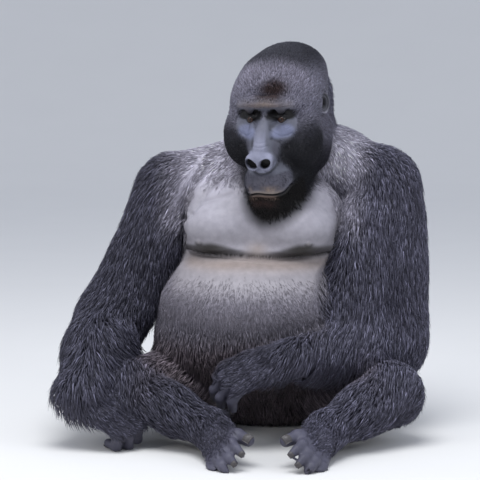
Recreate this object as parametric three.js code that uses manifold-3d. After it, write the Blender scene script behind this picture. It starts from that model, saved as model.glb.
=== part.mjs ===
// A life-size still model of an adult male gorilla that sits upright, in millimetres, +Z up.
// It faces -Y, a little to its right. The origin lies on the floor, under the flat of the seat.
//
// Flesh and coat are one rounded field, blended from eggs and tapered limbs that are placed at the joints.
// The field is meshed once for each named part, and thin cuts part the pieces:
// a curved one where two limbs meet or touch, and a flat one across each joint of a limb.
import * as THREE from "three";
import { mergeVertices } from "three/addons/utils/BufferGeometryUtils.js";
import Module from "manifold-3d";

const wasm = await Module();
wasm.setup();

// ---- Driving sizes ----
const looseness = 4; // how far a facet may lie from the rounded form
const headLooseness = 1.5; // and on the head
const cutGap = 0.8; // width of the thin cuts between parts
const floorLevel = 0;
const eyeRadius = 12;
const eyeClearance = 0.4;
const limbBlend = 4; // how softly limbs that only touch run into each other
const rootBlend = 17; // how softly a limb grows out of the trunk at its root
const rootReach = 120; // how far from the root joint that softness goes

// ---- Frames of the trunk and the head ----
const trunkFrame = { at: [25, 0, 0], yaw: -11, pitch: 0, roll: 0 };
const headFrame = { at: [57, -89, 801], yaw: -20, pitch: 15, roll: -1 };

// ---- Joints ----
const joints = {
  r: {
    shoulder: [-208, 62, 566],
    elbow: [-364, -20, 262],
    wrist: [-420, -292, 120],
    hip: [-80, 60, 120],
    knee: [-300, -212, 118],
    ankle: [-104, -378, 60],
  },
  l: {
    shoulder: [312, 22, 586],
    elbow: [322, -36, 212],
    wrist: [72, -296, 208],
    hip: [122, 32, 120],
    knee: [322, -236, 118],
    ankle: [160, -396, 60],
  },
};

// ---- Small vector helpers ----
const vec = (p) => new THREE.Vector3(...p);
const mix = (a, b, t) => a.map((v, i) => v + (b[i] - v) * t);
const plus = (a, b) => a.map((v, i) => v + b[i]);
const minus = (a, b) => a.map((v, i) => v - b[i]);
const times = (a, k) => a.map((v) => v * k);
const sum = (...terms) => terms.reduce(plus);
const unit = (a) => times(a, 1 / Math.hypot(...a));
const cross = (a, b) => vec(a).cross(vec(b)).toArray();
const radians = THREE.MathUtils.degToRad;

// ---- Shapes: each returns a function of a point that gives the distance to the shape's surface ----
function egg(centre, radii) {
  const [cx, cy, cz] = centre;
  const [rx, ry, rz] = radii;
  return (x, y, z) => {
    const u = (x - cx) / rx;
    const v = (y - cy) / ry;
    const w = (z - cz) / rz;
    const k0 = Math.hypot(u, v, w);
    const k1 = Math.hypot(u / rx, v / ry, w / rz);
    return k1 < 1e-9 ? -Math.min(rx, ry, rz) : (k0 * (k0 - 1)) / k1;
  };
}

// A limb from a to b whose round section tapers from radius ra to rb.
function limb(a, b, ra, rb) {
  const [ax, ay, az] = a;
  const bx = b[0] - ax;
  const by = b[1] - ay;
  const bz = b[2] - az;
  const l2 = bx * bx + by * by + bz * bz;
  const dr = ra - rb;
  const a2 = l2 - dr * dr;
  return (x, y, z) => {
    const px = x - ax;
    const py = y - ay;
    const pz = z - az;
    const along = px * bx + py * by + pz * bz;
    const past = along - l2;
    const qx = px * l2 - bx * along;
    const qy = py * l2 - by * along;
    const qz = pz * l2 - bz * along;
    const x2 = qx * qx + qy * qy + qz * qz;
    const y2 = along * along * l2;
    const z2 = past * past * l2;
    const k = Math.sign(dr) * dr * dr * x2;
    if (Math.sign(past) * a2 * z2 > k) return Math.sqrt(x2 + z2) / l2 - rb;
    if (Math.sign(along) * a2 * y2 < k) return Math.sqrt(x2 + y2) / l2 - ra;
    return (Math.sqrt((x2 * a2) / l2) + along * dr) / l2 - ra;
  };
}

// Runs shapes into one another, as softly as softness says, which is a length.
function blend(softness, shapes) {
  return (x, y, z) => {
    const k = typeof softness === "number" ? softness : softness(x, y, z);
    const d = shapes.map((f) => f(x, y, z));
    const least = Math.min(...d);
    return least - k * Math.log(d.reduce((s, v) => s + Math.exp((least - v) / k), 0));
  };
}

// Takes the second shape out of the first, with a rounded rim.
const carve = (softness, from, shape) => {
  const both = blend(softness, [(x, y, z) => -from(x, y, z), shape]);
  return (x, y, z) => -both(x, y, z);
};

// Places a shape that is described in a turned frame.
function placed(frame, shape) {
  const turn = frameMatrix(frame).invert();
  const [m0, m1, m2, , m4, m5, m6, , m8, m9, m10, , m12, m13, m14] = turn.elements;
  return (x, y, z) =>
    shape(
      m0 * x + m4 * y + m8 * z + m12,
      m1 * x + m5 * y + m9 * z + m13,
      m2 * x + m6 * y + m10 * z + m14,
    );
}

// Yaw turns about Z, pitch nods the front down, roll tips the head to its side.
function frameMatrix({ at, yaw, pitch, roll }) {
  const turn = new THREE.Euler(radians(pitch), radians(roll), radians(yaw), "ZXY");
  return new THREE.Matrix4().makeRotationFromEuler(turn).setPosition(...at);
}

const bothSides = (make) => [make(-1), make(1)];

// ---- Trunk and neck, in the trunk's frame ----
const trunkShape = placed(
  trunkFrame,
  blend(16, [
    ...bothSides((s) => egg([s * 98, 92, 118], [124, 134, 126])), // buttocks
    egg([-5, 50, 84], [165, 130, 110]), // seat
    egg([-6, 30, 190], [246, 176, 150]), // hips
    egg([-30, -62, 240], [238, 182, 132]), // belly, lower
    egg([-26, -76, 316], [230, 188, 120]), // belly, upper
    egg([-18, -44, 382], [208, 160, 72]), // waist
    egg([0, 25, 440], [216, 158, 150]), // ribs
    ...bothSides((s) => egg([s * 92 - 2, -96, 508], [98, 80, 64])), // breast
    egg([0, -30, 560], [190, 112, 90]), // breastbone and collar
    ...bothSides((s) => egg([s * 140, 88, 430], [124, 116, 190])), // flanks of the back
    egg([0, 112, 570], [200, 110, 134]), // back between the shoulder blades
    egg([0, 118, 330], [190, 104, 200]), // small of the back
  ]),
);
const neckShape = blend(16, [
  limb([45, 55, 640], [68, 0, 750], 128, 120), // throat side of the neck
  limb([62, 96, 660], [96, 68, 824], 114, 101), // nape
  limb([-30, 80, 644], plus(joints.r.shoulder, [16, 0, 44]), 86, 84), // right shoulder yoke
  limb([90, 85, 678], [210, 60, 656], 94, 86), // left shoulder yoke
  limb([210, 60, 656], plus(joints.l.shoulder, [-10, 0, 32]), 86, 80),
]);

// ---- Head, in its own frame: x to its left, y to its back, z up, from a point between the temples ----
const headShape = placed(
  headFrame,
  blend(9, [
    egg([4, 28, 36], [110, 112, 98]), // skull
    egg([6, 72, 64], [98, 104, 80]), // crest pad
    egg([2, 4, 66], [98, 86, 75]), // crown
    ...bothSides((s) => egg([s * 60, -14, 20], [58, 88, 74])), // temples
    limb([-58, -102, 33], [6, -108, 40], 22, 23), // brow ridge
    limb([6, -108, 40], [70, -102, 33], 23, 22),
    ...bothSides((s) => egg([s * 74, -62, -52], [54, 62, 78])), // cheeks
    ...bothSides((s) => egg([s * 74, 6, -84], [46, 78, 84])), // jaw muscles
    egg([0, -92, -66], [62, 74, 92]), // muzzle, upper
    egg([0, -108, -158], [70, 70, 56]), // lips
    egg([2, -94, -222], [66, 62, 55]), // chin
    egg([12, -66, -200], [65, 62, 60]), // jowl
    egg([0, -30, -150], [84, 92, 84]), // throat
    limb([0, -118, 6], [0, -158, -62], 17, 20), // bridge of the nose
    ...bothSides((s) => egg([s * 18, -166, -88], [21, 17, 18])), // wings of the nose
    egg([0, -172, -80], [16, 14, 15]), // tip of the nose
  ]),
);
const sockets = placed(
  headFrame,
  blend(6, bothSides((s) => egg([s * 38, -140, 2], [29, 28, 19]))),
);
const headField = carve(7, headShape, sockets);

// ---- Arms: the radii are those of flesh and coat together ----
const girths = {
  r: { cap: 95, upper: 80, low: 90, fore: 90, wrist: 64 },
  l: { cap: 97, upper: 104, low: 104, fore: 102, wrist: 52 },
};
const muscles = {
  r: { biceps: [[0, -22, 0], [36, -16, 0]], triceps: [-8, 24, 0] },
  l: { biceps: [[-42, -56, 0], [-84, -82, 20]], triceps: [20, 22, 0] },
};

function armShape(side, s) {
  const { shoulder, elbow, wrist } = joints[side];
  const { cap, upper, low, fore, wrist: wristGirth } = girths[side];
  const { biceps, triceps } = muscles[side];
  const start = mix(shoulder, elbow, 0.2);
  const middle = mix(shoulder, elbow, 0.5);
  const end = mix(shoulder, elbow, 0.85);
  const thickest = mix(elbow, wrist, 0.4);
  return blend(12, [
    limb(plus(shoulder, [s * 10, 0, 16]), middle, cap, upper),
    limb(middle, elbow, upper, low),
    limb(plus(start, biceps[0]), plus(end, biceps[1]), upper - 16, upper - 12),
    limb(plus(start, triceps), plus(end, triceps), upper - 10, low - 14),
    limb(elbow, thickest, low, fore),
    limb(thickest, wrist, fore, wristGirth),
  ]);
}

// ---- Hands and feet: each digit is a chain of bones that curls away from the back of the hand or foot ----
function chain(root, along, back, lengths, curl, radii) {
  let at = root;
  return lengths.map((length, i) => {
    const a = radians(curl[i]);
    const to = sum(at, times(along, length * Math.cos(a)), times(back, -length * Math.sin(a)));
    const bone = limb(at, to, radii[i] + 1.5, radii[i]);
    at = to;
    return bone;
  });
}

// Three directions of a hand or foot: along it, out of its back and across it, towards the smallest digit.
function directions(frame, s) {
  const along = unit(frame.along);
  const across = times(unit(cross(frame.back, along)), s);
  const back = times(cross(along, across), s);
  return { along, across, back };
}

const palms = {
  r: { along: [0.88, -0.32, -0.35], back: [0.25, -0.62, 0.74], curl: [20, 88, 165] },
  l: { along: [-0.96, -0.16, -0.2], back: [-0.24, -0.58, 0.78], curl: [18, 52, 90] },
};
const fingerLengths = [[88, 56, 38, 26], [92, 64, 44, 28], [88, 62, 42, 27], [82, 52, 34, 24]];
const fingerRadius = 16;

function handShape(side, s) {
  const { wrist } = joints[side];
  const { along, across, back } = directions(palms[side], s);
  const digits = fingerLengths.map(([palmLength, ...lengths], i) => {
    const spread = i - 1.5;
    const way = unit(plus(along, times(across, spread * 0.1)));
    const root = plus(wrist, times(across, spread * 16));
    const knuckle = plus(root, times(way, palmLength));
    const radii = [fingerRadius, fingerRadius - 1, fingerRadius - 2];
    return blend(2, [
      limb(plus(root, times(back, -8)), knuckle, 26, fingerRadius + 4),
      ...chain(knuckle, way, back, lengths, palms[side].curl, radii),
    ]);
  });
  const thumbWay = unit(sum(times(along, 0.62), times(across, -0.66), times(back, -0.42)));
  const thumbRoot = sum(wrist, times(across, -26), times(along, 12), times(back, -6));
  const thumbKnuckle = plus(thumbRoot, times(thumbWay, 42));
  const thumbTipWay = unit(plus(thumbWay, times(along, 0.3)));
  const thumb = blend(2, [
    limb(thumbRoot, thumbKnuckle, 22, 16),
    ...chain(thumbKnuckle, thumbTipWay, back, [30, 22], [5, 25], [13.5, 12.5]),
  ]);
  const cuff = limb(plus(wrist, times(along, -20)), plus(wrist, times(along, 30)), 44, 34);
  return blend(3.5, [cuff, ...digits, thumb]);
}

// ---- Legs and feet ----
function legShape(side) {
  const { hip, knee, ankle } = joints[side];
  return blend(12, [
    limb(hip, mix(hip, knee, 0.5), 112, 102), // thigh, thick end
    limb(mix(hip, knee, 0.4), knee, 100, 82), // thigh, thin end
    limb(knee, mix(knee, ankle, 0.5), 78, 66), // calf
    limb(mix(knee, ankle, 0.45), ankle, 66, 46), // shin
  ]);
}

const soles = {
  r: { along: [0.06, -0.99, -0.1], back: [-0.72, -0.1, 0.69] },
  l: { along: [-0.16, -0.98, -0.1], back: [0.72, -0.1, 0.69] },
};
const toeLengths = [[34, 26, 20], [36, 27, 20], [34, 25, 19], [30, 22, 17]];
const toeRadius = 13.5;

function footShape(side, s) {
  const { ankle } = joints[side];
  const { along, across, back } = directions(soles[side], s);
  const from = (a, c, b) => sum(ankle, times(along, a), times(across, c), times(back, b));
  const heel = from(-34, 0, -24);
  const toes = toeLengths.map((lengths, i) => {
    const spread = i - 1.5;
    const way = unit(plus(along, times(across, spread * 0.07)));
    const root = from(130 - 8 * Math.abs(spread - 0.3), spread * 21, -22);
    return blend(2, [
      limb(from(50, spread * 8, -12), root, 30, toeRadius + 5),
      ...chain(root, way, back, lengths, [-8, 22, 48], [toeRadius, toeRadius - 1, toeRadius - 2]),
    ]);
  });
  const bigRoot = from(62, -28, -20);
  const bigWay = unit(sum(times(along, 0.9), times(across, -0.42), times(back, -0.12)));
  const bigToe = [
    limb(from(10, 0, -8), bigRoot, 34, 24),
    ...chain(bigRoot, bigWay, back, [50, 36], [0, 22], [20, 17]),
  ];
  return blend(4, [
    limb(ankle, heel, 44, 36),
    limb(heel, from(60, 0, -26), 36, 30),
    limb(ankle, from(80, 0, -10), 42, 34),
    ...toes,
    blend(2, bigToe),
  ]);
}

// ---- Ears, in the head's frame ----
const earCentre = [108, -5, 8];
function earShape(s) {
  const [x, y, z] = earCentre;
  const rim = [];
  const rimSteps = 9;
  for (let i = 0; i < rimSteps; i++) {
    const at = (turns) => {
      const a = radians(-140 + 280 * turns);
      return [s * (x + 8 + 6 * Math.cos(a)), y + 15 * Math.cos(a) + 4, z + 26 * Math.sin(a)];
    };
    rim.push(limb(at(i / rimSteps), at((i + 1) / rimSteps), 5.5, 5.5));
  }
  return placed(headFrame, blend(2, [egg([s * (x - 2), y + 2, z], [8, 13, 24]), ...rim]));
}

// ---- The whole body: limbs that grow from the trunk run softly into it round their root ----
const limbs = {
  trunk: blend(14, [trunkShape, neckShape]),
  head: headField,
  arm_r: blend(6, [armShape("r", -1), handShape("r", -1)]),
  arm_l: blend(6, [armShape("l", 1), handShape("l", 1)]),
  leg_r: blend(6, [legShape("r"), footShape("r", -1)]),
  leg_l: blend(6, [legShape("l"), footShape("l", 1)]),
};
const neckTop = [84, 24, 826];
const roots = [joints.r.shoulder, joints.l.shoulder, joints.r.hip, joints.l.hip, neckTop];
const softness = (x, y, z) => {
  const squares = roots.map((q) => (x - q[0]) ** 2 + (y - q[1]) ** 2 + (z - q[2]) ** 2);
  const near = squares.reduce((s, v) => s + Math.exp(-v / rootReach ** 2), 0);
  return limbBlend + rootBlend * Math.min(1, near);
};
const body = blend(softness, Object.values(limbs));

// ---- Meshing ----
// A grid face with two opposite corners inside and the other two outside would join four faces on one edge,
// so the nearer outside corner is moved just inside.
function fillAmbiguousFaces(values, n, at, cell) {
  const steps = [1, n[0], n[0] * n[1]];
  const inside = -1e-3 * cell;
  let changed = true;
  while (changed) {
    changed = false;
    for (let k = 1; k < n[2] - 1; k++)
      for (let j = 1; j < n[1] - 1; j++)
        for (let i = 1; i < n[0] - 1; i++) {
          const a = at(i, j, k);
          for (const [u, v] of [[steps[0], steps[1]], [steps[1], steps[2]], [steps[2], steps[0]]]) {
            const face = [a, a + u, a + u + v, a + v];
            const signs = face.map((c) => values[c] < 0);
            if (signs[0] !== signs[2] || signs[1] !== signs[3] || signs[0] === signs[1]) continue;
            const outside = face.filter((c) => values[c] >= 0);
            values[values[outside[0]] < values[outside[1]] ? outside[0] : outside[1]] = inside;
            changed = true;
          }
        }
  }
}

// A surface net, with one vertex in each grid cell that the surface passes through.
function surfaceNet(field, low, high, cell) {
  const n = low.map((v, i) => Math.ceil((high[i] - v) / cell) + 1);
  const at = (i, j, k) => i + n[0] * (j + n[1] * k);
  const values = new Float64Array(n[0] * n[1] * n[2]);
  for (let k = 0; k < n[2]; k++)
    for (let j = 0; j < n[1]; j++)
      for (let i = 0; i < n[0]; i++) {
        const edge = [i, j, k].some((v, a) => v === 0 || v === n[a] - 1);
        const v = field(low[0] + i * cell, low[1] + j * cell, low[2] + k * cell);
        values[at(i, j, k)] = edge ? Math.max(v, cell / 4) : v;
      }
  fillAmbiguousFaces(values, n, at, cell);
  const points = [];
  const vertexOf = new Map();
  const corners = [];
  for (let c = 0; c < 8; c++) corners.push([c & 1, (c >> 1) & 1, (c >> 2) & 1]);
  const vertex = (i, j, k) => {
    const key = at(i, j, k);
    if (vertexOf.has(key)) return vertexOf.get(key);
    const sum = [0, 0, 0];
    let count = 0;
    for (let a = 0; a < 8; a++)
      for (let axis = 0; axis < 3; axis++) {
        if (corners[a][axis]) continue;
        const from = corners[a];
        const to = from.map((v, q) => (q === axis ? 1 : v));
        const va = values[at(i + from[0], j + from[1], k + from[2])];
        const vb = values[at(i + to[0], j + to[1], k + to[2])];
        if (va < 0 === vb < 0) continue;
        const t = va / (va - vb);
        from.forEach((v, q) => (sum[q] += v + (to[q] - v) * t));
        count++;
      }
    points.push(...[i, j, k].map((v, q) => low[q] + (v + sum[q] / count) * cell));
    vertexOf.set(key, points.length / 3 - 1);
    return vertexOf.get(key);
  };
  const index = [];
  const quad = (a, b, c, d, flip) => index.push(...(flip ? [a, c, b, a, d, c] : [a, b, c, a, c, d]));
  for (let k = 0; k < n[2] - 1; k++)
    for (let j = 0; j < n[1] - 1; j++)
      for (let i = 0; i < n[0] - 1; i++) {
        const inside = values[at(i, j, k)] < 0;
        if (j && k && inside !== values[at(i + 1, j, k)] < 0)
          quad(vertex(i, j - 1, k - 1), vertex(i, j, k - 1), vertex(i, j, k), vertex(i, j - 1, k), !inside);
        if (k && i && inside !== values[at(i, j + 1, k)] < 0)
          quad(vertex(i - 1, j, k - 1), vertex(i - 1, j, k), vertex(i, j, k), vertex(i, j, k - 1), !inside);
        if (i && j && inside !== values[at(i, j, k + 1)] < 0)
          quad(vertex(i - 1, j - 1, k), vertex(i, j - 1, k), vertex(i, j, k), vertex(i - 1, j, k), !inside);
      }
  return new THREE.BufferGeometry()
    .setAttribute("position", new THREE.Float32BufferAttribute(points, 3))
    .setIndex(index);
}

// ---- Solids ----
function solidOf(geometry) {
  const bare = geometry.clone();
  bare.deleteAttribute("normal");
  bare.deleteAttribute("uv");
  const merged = mergeVertices(bare, 1e-4);
  return new wasm.Manifold(
    new wasm.Mesh({
      numProp: 3,
      vertProperties: merged.attributes.position.array,
      triVerts: new Uint32Array(merged.index.array),
    }),
  );
}

function geometryOf(solid) {
  const mesh = solid.getMesh();
  return new THREE.BufferGeometry()
    .setAttribute("position", new THREE.BufferAttribute(mesh.vertProperties, 3))
    .setIndex(new THREE.BufferAttribute(mesh.triVerts, 1));
}

const largest = (solid) =>
  solid.decompose().reduce((best, s) => (s.volume() > best.volume() ? s : best));

// All that lies on one side of a plane through a point: a big box whose face is on the plane.
function sideOf(point, towards, gap = cutGap / 2) {
  const size = 2400;
  const box = new THREE.BoxGeometry(size, size, size);
  const normal = vec(towards).normalize();
  const turn = new THREE.Quaternion().setFromUnitVectors(new THREE.Vector3(0, 0, 1), normal);
  box.applyQuaternion(turn);
  const centre = vec(point).addScaledVector(normal, size / 2 + gap);
  box.translate(centre.x, centre.y, centre.z);
  return solidOf(box);
}

// The solid of a mesh whose skin is moved out by a small distance.
function grown(geometry, by) {
  const copy = geometry.clone();
  copy.computeVertexNormals();
  const { position, normal } = copy.attributes;
  position.array.forEach((v, i) => (position.array[i] = v + by * normal.array[i]));
  return solidOf(copy);
}

// The space of one limb: where its own field is below those of the limbs that come after it in the list.
// Its skin is moved in for the limb itself and out for the others, so that the cut lies between the two.
function spaceOf(name, low, high, cell) {
  const names = Object.keys(spaceBox);
  const own = limbs[name];
  const others = [...names.slice(names.indexOf(name) + 1), "trunk"].map((k) => limbs[k]);
  const difference = (x, y, z) => own(x, y, z) - Math.min(...others.map((f) => f(x, y, z)));
  const skin = surfaceNet(difference, low, high, cell);
  return { own: grown(skin, -cutGap / 2), room: grown(skin, cutGap / 2) };
}

// Normal of the flat cut that halves the bend at joint b of the chain a, b, c. It points towards c.
function bendNormal(a, b, c) {
  const back = vec(minus(b, a)).normalize();
  const on = vec(minus(c, b)).normalize();
  return back.add(on).toArray();
}

// ---- Parts: each has a box to mesh in, a cell size and the cuts that bound it ----
const materials = {
  coat: new THREE.MeshStandardMaterial({ color: 0x1d1d22, roughness: 0.85, metalness: 0 }),
  hide: new THREE.MeshStandardMaterial({ color: 0x3a3b42, roughness: 0.6, metalness: 0 }),
  chest: new THREE.MeshStandardMaterial({ color: 0x5d5a58, roughness: 0.75, metalness: 0 }),
  eye: new THREE.MeshStandardMaterial({ color: 0x2a1710, roughness: 0.15, metalness: 0 }),
};

const gorilla = new THREE.Group();
function addPart(name, solid, material) {
  const mesh = new THREE.Mesh(geometryOf(largest(solid).simplify(cutGap * 0.45)), material);
  mesh.name = name;
  gorilla.add(mesh);
}

const spaceCell = 60;
const spaceBox = {
  arm_r: [[-540, -480, -40], [-60, 220, 760]],
  arm_l: [[-160, -460, 60], [520, 200, 780]],
  leg_r: [[-440, -760, -40], [140, 240, 300]],
  leg_l: [[-80, -780, -40], [460, 240, 300]],
  head: [[-160, -360, 480], [300, 160, 1040]],
};
const spaces = {};
for (const [name, [low, high]] of Object.entries(spaceBox)) {
  spaces[name] = spaceOf(name, low, high, spaceCell);
}

const aboveFloor = sideOf([0, 0, floorLevel], [0, 0, 1], 0);

function flesh(limbName, low, high, cell, cuts = []) {
  const loose = limbName === "head" ? headLooseness : looseness;
  let solid = solidOf(surfaceNet(body, low, high, cell)).simplify(loose).intersect(aboveFloor);
  for (const cut of cuts) solid = solid.intersect(cut);
  for (const [name, space] of Object.entries(spaces)) {
    if (name === limbName) return solid.intersect(space.own);
    solid = solid.subtract(space.room);
  }
  return solid;
}

const neckCut = { at: [40, 30, 668], towards: [0.1, -0.35, 0.94] };
const belowNeck = sideOf(neckCut.at, times(neckCut.towards, -1));
const aboveNeck = sideOf(neckCut.at, neckCut.towards);
addPart("trunk", flesh("trunk", [-330, -380, -40], [390, 310, 840], 60, [belowNeck]), materials.coat);
addPart("neck", flesh("trunk", [-200, -200, 560], [330, 250, 880], 50, [aboveNeck]), materials.coat);

const headTurn = frameMatrix(headFrame);
const eyes = bothSides((s) => new THREE.Vector3(s * 39 + 3, -108, 2).applyMatrix4(headTurn));
let headSolid = flesh("head", [-140, -340, 490], [280, 140, 1020], 17);
const ears = bothSides((s) => {
  const [x, y, z] = plus(earCentre, [8, 4, 0]);
  const centre = new THREE.Vector3(s * x, y, z).applyMatrix4(headTurn);
  const reach = new THREE.Vector3(44, 44, 44);
  return surfaceNet(earShape(s), centre.clone().sub(reach).toArray(), centre.clone().add(reach).toArray(), 8);
});
const headRoom = grown(geometryOf(headSolid), 1.5 * cutGap);
for (const centre of eyes) {
  const socket = new THREE.SphereGeometry(eyeRadius + eyeClearance, 12, 8);
  socket.translate(centre.x, centre.y, centre.z);
  headSolid = headSolid.subtract(solidOf(socket));
}
addPart("head", headSolid, materials.hide);
["r", "l"].forEach((side, i) => {
  addPart("ear_" + side, solidOf(ears[i]).subtract(headRoom), materials.hide);
  const eye = new THREE.Mesh(new THREE.SphereGeometry(eyeRadius, 12, 8), materials.eye);
  eye.position.copy(eyes[i]);
  eye.name = "eye_" + side;
  gorilla.add(eye);
});

for (const [side, s] of [["r", -1], ["l", 1]]) {
  const j = joints[side];
  const arm = "arm_" + side;
  const leg = "leg_" + side;
  const armLow = side === "r" ? [-530, -200, 150] : [160, -220, 140];
  const armHigh = side === "r" ? [-60, 220, 740] : [500, 180, 760];
  const elbowCut = bendNormal(j.shoulder, j.elbow, j.wrist);
  const wristCut = bendNormal(j.elbow, j.wrist, plus(j.wrist, times(palms[side].along, 100)));
  const upperArm = flesh(arm, armLow, armHigh, 42, [sideOf(j.elbow, times(elbowCut, -1))]);
  addPart("upper_arm_" + side, upperArm, materials.coat);
  const fore = j.elbow.map((v, i) => [Math.min(v, j.wrist[i]) - 110, Math.max(v, j.wrist[i]) + 110]);
  addPart(
    "forearm_" + side,
    flesh(arm, fore.map((v) => v[0]), fore.map((v) => v[1]), 37, [
      sideOf(j.elbow, elbowCut),
      sideOf(j.wrist, times(wristCut, -1)),
    ]),
    materials.coat,
  );
  const fingersEnd = plus(j.wrist, times(palms[side].along, 170));
  const handLow = [0, 1, 2].map((a) => Math.min(j.wrist[a], fingersEnd[a]) - 90);
  const handHigh = [0, 1, 2].map((a) => Math.max(j.wrist[a], fingersEnd[a]) + 90);
  addPart("hand_" + side, flesh(arm, handLow, handHigh, 16, [sideOf(j.wrist, wristCut)]), materials.hide);

  const kneeCut = bendNormal(j.hip, j.knee, j.ankle);
  const ankleCut = bendNormal(j.knee, j.ankle, plus(j.ankle, times(soles[side].along, 100)));
  const legLow = [Math.min(j.hip[0], j.knee[0]) - 130, -400, -40];
  const legHigh = [Math.max(j.hip[0], j.knee[0]) + 130, 220, 260];
  const thigh = flesh(leg, legLow, legHigh, 45, [sideOf(j.knee, times(kneeCut, -1))]);
  addPart("thigh_" + side, thigh, materials.coat);
  const shin = j.knee.map((v, i) => [Math.min(v, j.ankle[i]) - 100, Math.max(v, j.ankle[i]) + 100]);
  addPart(
    "lower_leg_" + side,
    flesh(leg, shin.map((v) => v[0]), shin.map((v) => v[1]), 38, [
      sideOf(j.knee, kneeCut),
      sideOf(j.ankle, times(ankleCut, -1)),
    ]),
    materials.coat,
  );
  const footLow = [j.ankle[0] - 130, j.ankle[1] - 280, -30];
  const footHigh = [j.ankle[0] + 130, j.ankle[1] + 110, 160];
  addPart("foot_" + side, flesh(leg, footLow, footHigh, 16.5, [sideOf(j.ankle, ankleCut)]), materials.hide);
}

export default gorilla;
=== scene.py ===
# A silverback gorilla that sits on the floor: one skin, eyes, ears and nails, under a coat of solid
# tufts. Shapes are worked out in millimetres in the frame of the model, and turned into metres when a
# mesh is made.
import math

import bpy
import numpy as np
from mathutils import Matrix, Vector


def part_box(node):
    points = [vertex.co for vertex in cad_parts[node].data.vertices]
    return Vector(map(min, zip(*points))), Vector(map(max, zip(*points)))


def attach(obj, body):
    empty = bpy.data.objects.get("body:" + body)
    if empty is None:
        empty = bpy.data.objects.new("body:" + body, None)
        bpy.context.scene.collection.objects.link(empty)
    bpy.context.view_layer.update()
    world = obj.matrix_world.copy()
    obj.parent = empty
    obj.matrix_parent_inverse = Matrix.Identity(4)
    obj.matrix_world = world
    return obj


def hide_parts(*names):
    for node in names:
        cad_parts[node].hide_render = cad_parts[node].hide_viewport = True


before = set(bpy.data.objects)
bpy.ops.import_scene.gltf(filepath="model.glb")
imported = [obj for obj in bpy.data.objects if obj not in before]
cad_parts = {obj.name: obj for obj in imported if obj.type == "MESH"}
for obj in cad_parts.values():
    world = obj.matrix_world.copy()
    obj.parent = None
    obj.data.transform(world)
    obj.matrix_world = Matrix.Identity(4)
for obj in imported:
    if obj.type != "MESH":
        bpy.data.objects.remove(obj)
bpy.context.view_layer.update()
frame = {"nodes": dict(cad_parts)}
toMetres = 0.001

# The camera looks at the chest from a little above, through a long lens.
view = {
    "place": (-0.04, -4.9726, 0.98769),
    "target": (-0.04, 0.0, 0.46504),
    "lens": 150,
    "sensor": 36,
}


def makeCamera(view):  # turned along the target less the place
    data = bpy.data.cameras.new("camera")
    data.lens = view["lens"]
    data.sensor_width = view["sensor"]
    data.clip_end = 60
    camera = bpy.data.objects.new("camera", data)
    bpy.context.scene.collection.objects.link(camera)
    camera.location = view["place"]
    sight = Vector(view["target"]) - Vector(view["place"])
    camera.rotation_euler = sight.to_track_quat("-Z", "Y").to_euler()
    bpy.context.scene.camera = camera


makeCamera(view)
print("camera placed")


# Small helpers on points and numbers.
def vec(*values):  # the values as a row of single-precision numbers
    return np.array(values, np.float32)


def unit(v):  # the vector over its length
    v = np.asarray(v, float)
    return v / np.linalg.norm(v)


def rows(v):  # each row divided by its length
    return v / (np.sqrt(np.einsum("ij,ij->i", v, v))[:, None] + 1e-9)


def mix(a, b, t):  # a plus t times the way from a to b
    return np.asarray(a, float) + (np.asarray(b, float) - np.asarray(a, float)) * t


def step(low, high, x):  # 0 below low, 1 above high, and a smooth curve 3t^2 - 2t^3 between
    t = np.clip((x - low) / (high - low), 0, 1)
    return t * t * (3 - 2 * t)


def bump(x, centre, width):  # a bell curve, exp of minus the square of the distance over the width
    return np.exp(-(((x - centre) / width) ** 2))


# Distance to an egg: k0 (k0 - 1) / k1, where k0 is the length of the point over the radii, and k1 the
# length of the point over their squares.
def egg(centre, radii):
    c, r = vec(*centre), vec(*radii)

    def field(p):
        u = (p - c) / r
        k0 = np.sqrt(np.einsum("ij,ij->i", u, u))
        v = u / r
        return k0 * (k0 - 1) / (np.sqrt(np.einsum("ij,ij->i", v, v)) + 1e-9)

    return field


# Distance to a limb: to the cone that touches a ball at each end, or past its rims to the nearer ball.
def limb(start, end, startRadius, endRadius):
    a = np.asarray(start, np.float32)
    d = np.asarray(end, np.float32) - a
    l2 = float(d @ d)
    dr = float(startRadius - endRadius)
    a2 = l2 - dr * dr

    def field(p):
        q = p - a
        along = q @ d
        past = along - l2
        w = q * l2 - along[:, None] * d
        x2 = np.einsum("ij,ij->i", w, w)
        y2 = along * along * l2
        z2 = past * past * l2
        k = np.sign(dr) * dr * dr * x2
        far = np.sqrt(x2 + z2) / l2 - endRadius
        near = np.sqrt(x2 + y2) / l2 - startRadius
        side = (np.sqrt(x2 * a2 / l2) + along * dr) / l2 - startRadius
        out = np.where(np.sign(along) * a2 * y2 < k, near, side)
        return np.where(np.sign(past) * a2 * z2 > k, far, out)

    return field


# Runs shapes into one another: minus k times the logarithm of the sum of exp(-distance / k).
def blend(softness, shapes):
    def field(p):
        k = softness(p) if callable(softness) else softness
        d = np.stack([shape(p) for shape in shapes])
        least = d.min(axis=0)
        return least - k * np.log(np.exp(np.maximum((least - d) / k, -40)).sum(axis=0))

    return field


def carve(softness, solid, hole):  # takes the hole out of the solid, with a rounded rim
    both = blend(softness, [lambda p: -solid(p), hole])
    return lambda p: -both(p)


def sunk(depth, shape):  # the same shape with its surface moved in
    return lambda p: shape(p) + (depth(p) if callable(depth) else depth)


ballMargin = 90  # how far past its ball a shape is still worked out


# The shape itself near its ball, and further off the distance to the ball: length from the centre less
# the reach.
def nearBall(centre, reach, shape):
    c = vec(*centre)

    def field(p):
        out = np.sqrt(((p - c) ** 2).sum(axis=1)) - reach
        close = out < ballMargin
        out[close] = shape(p[close])
        return out

    return field


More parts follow.
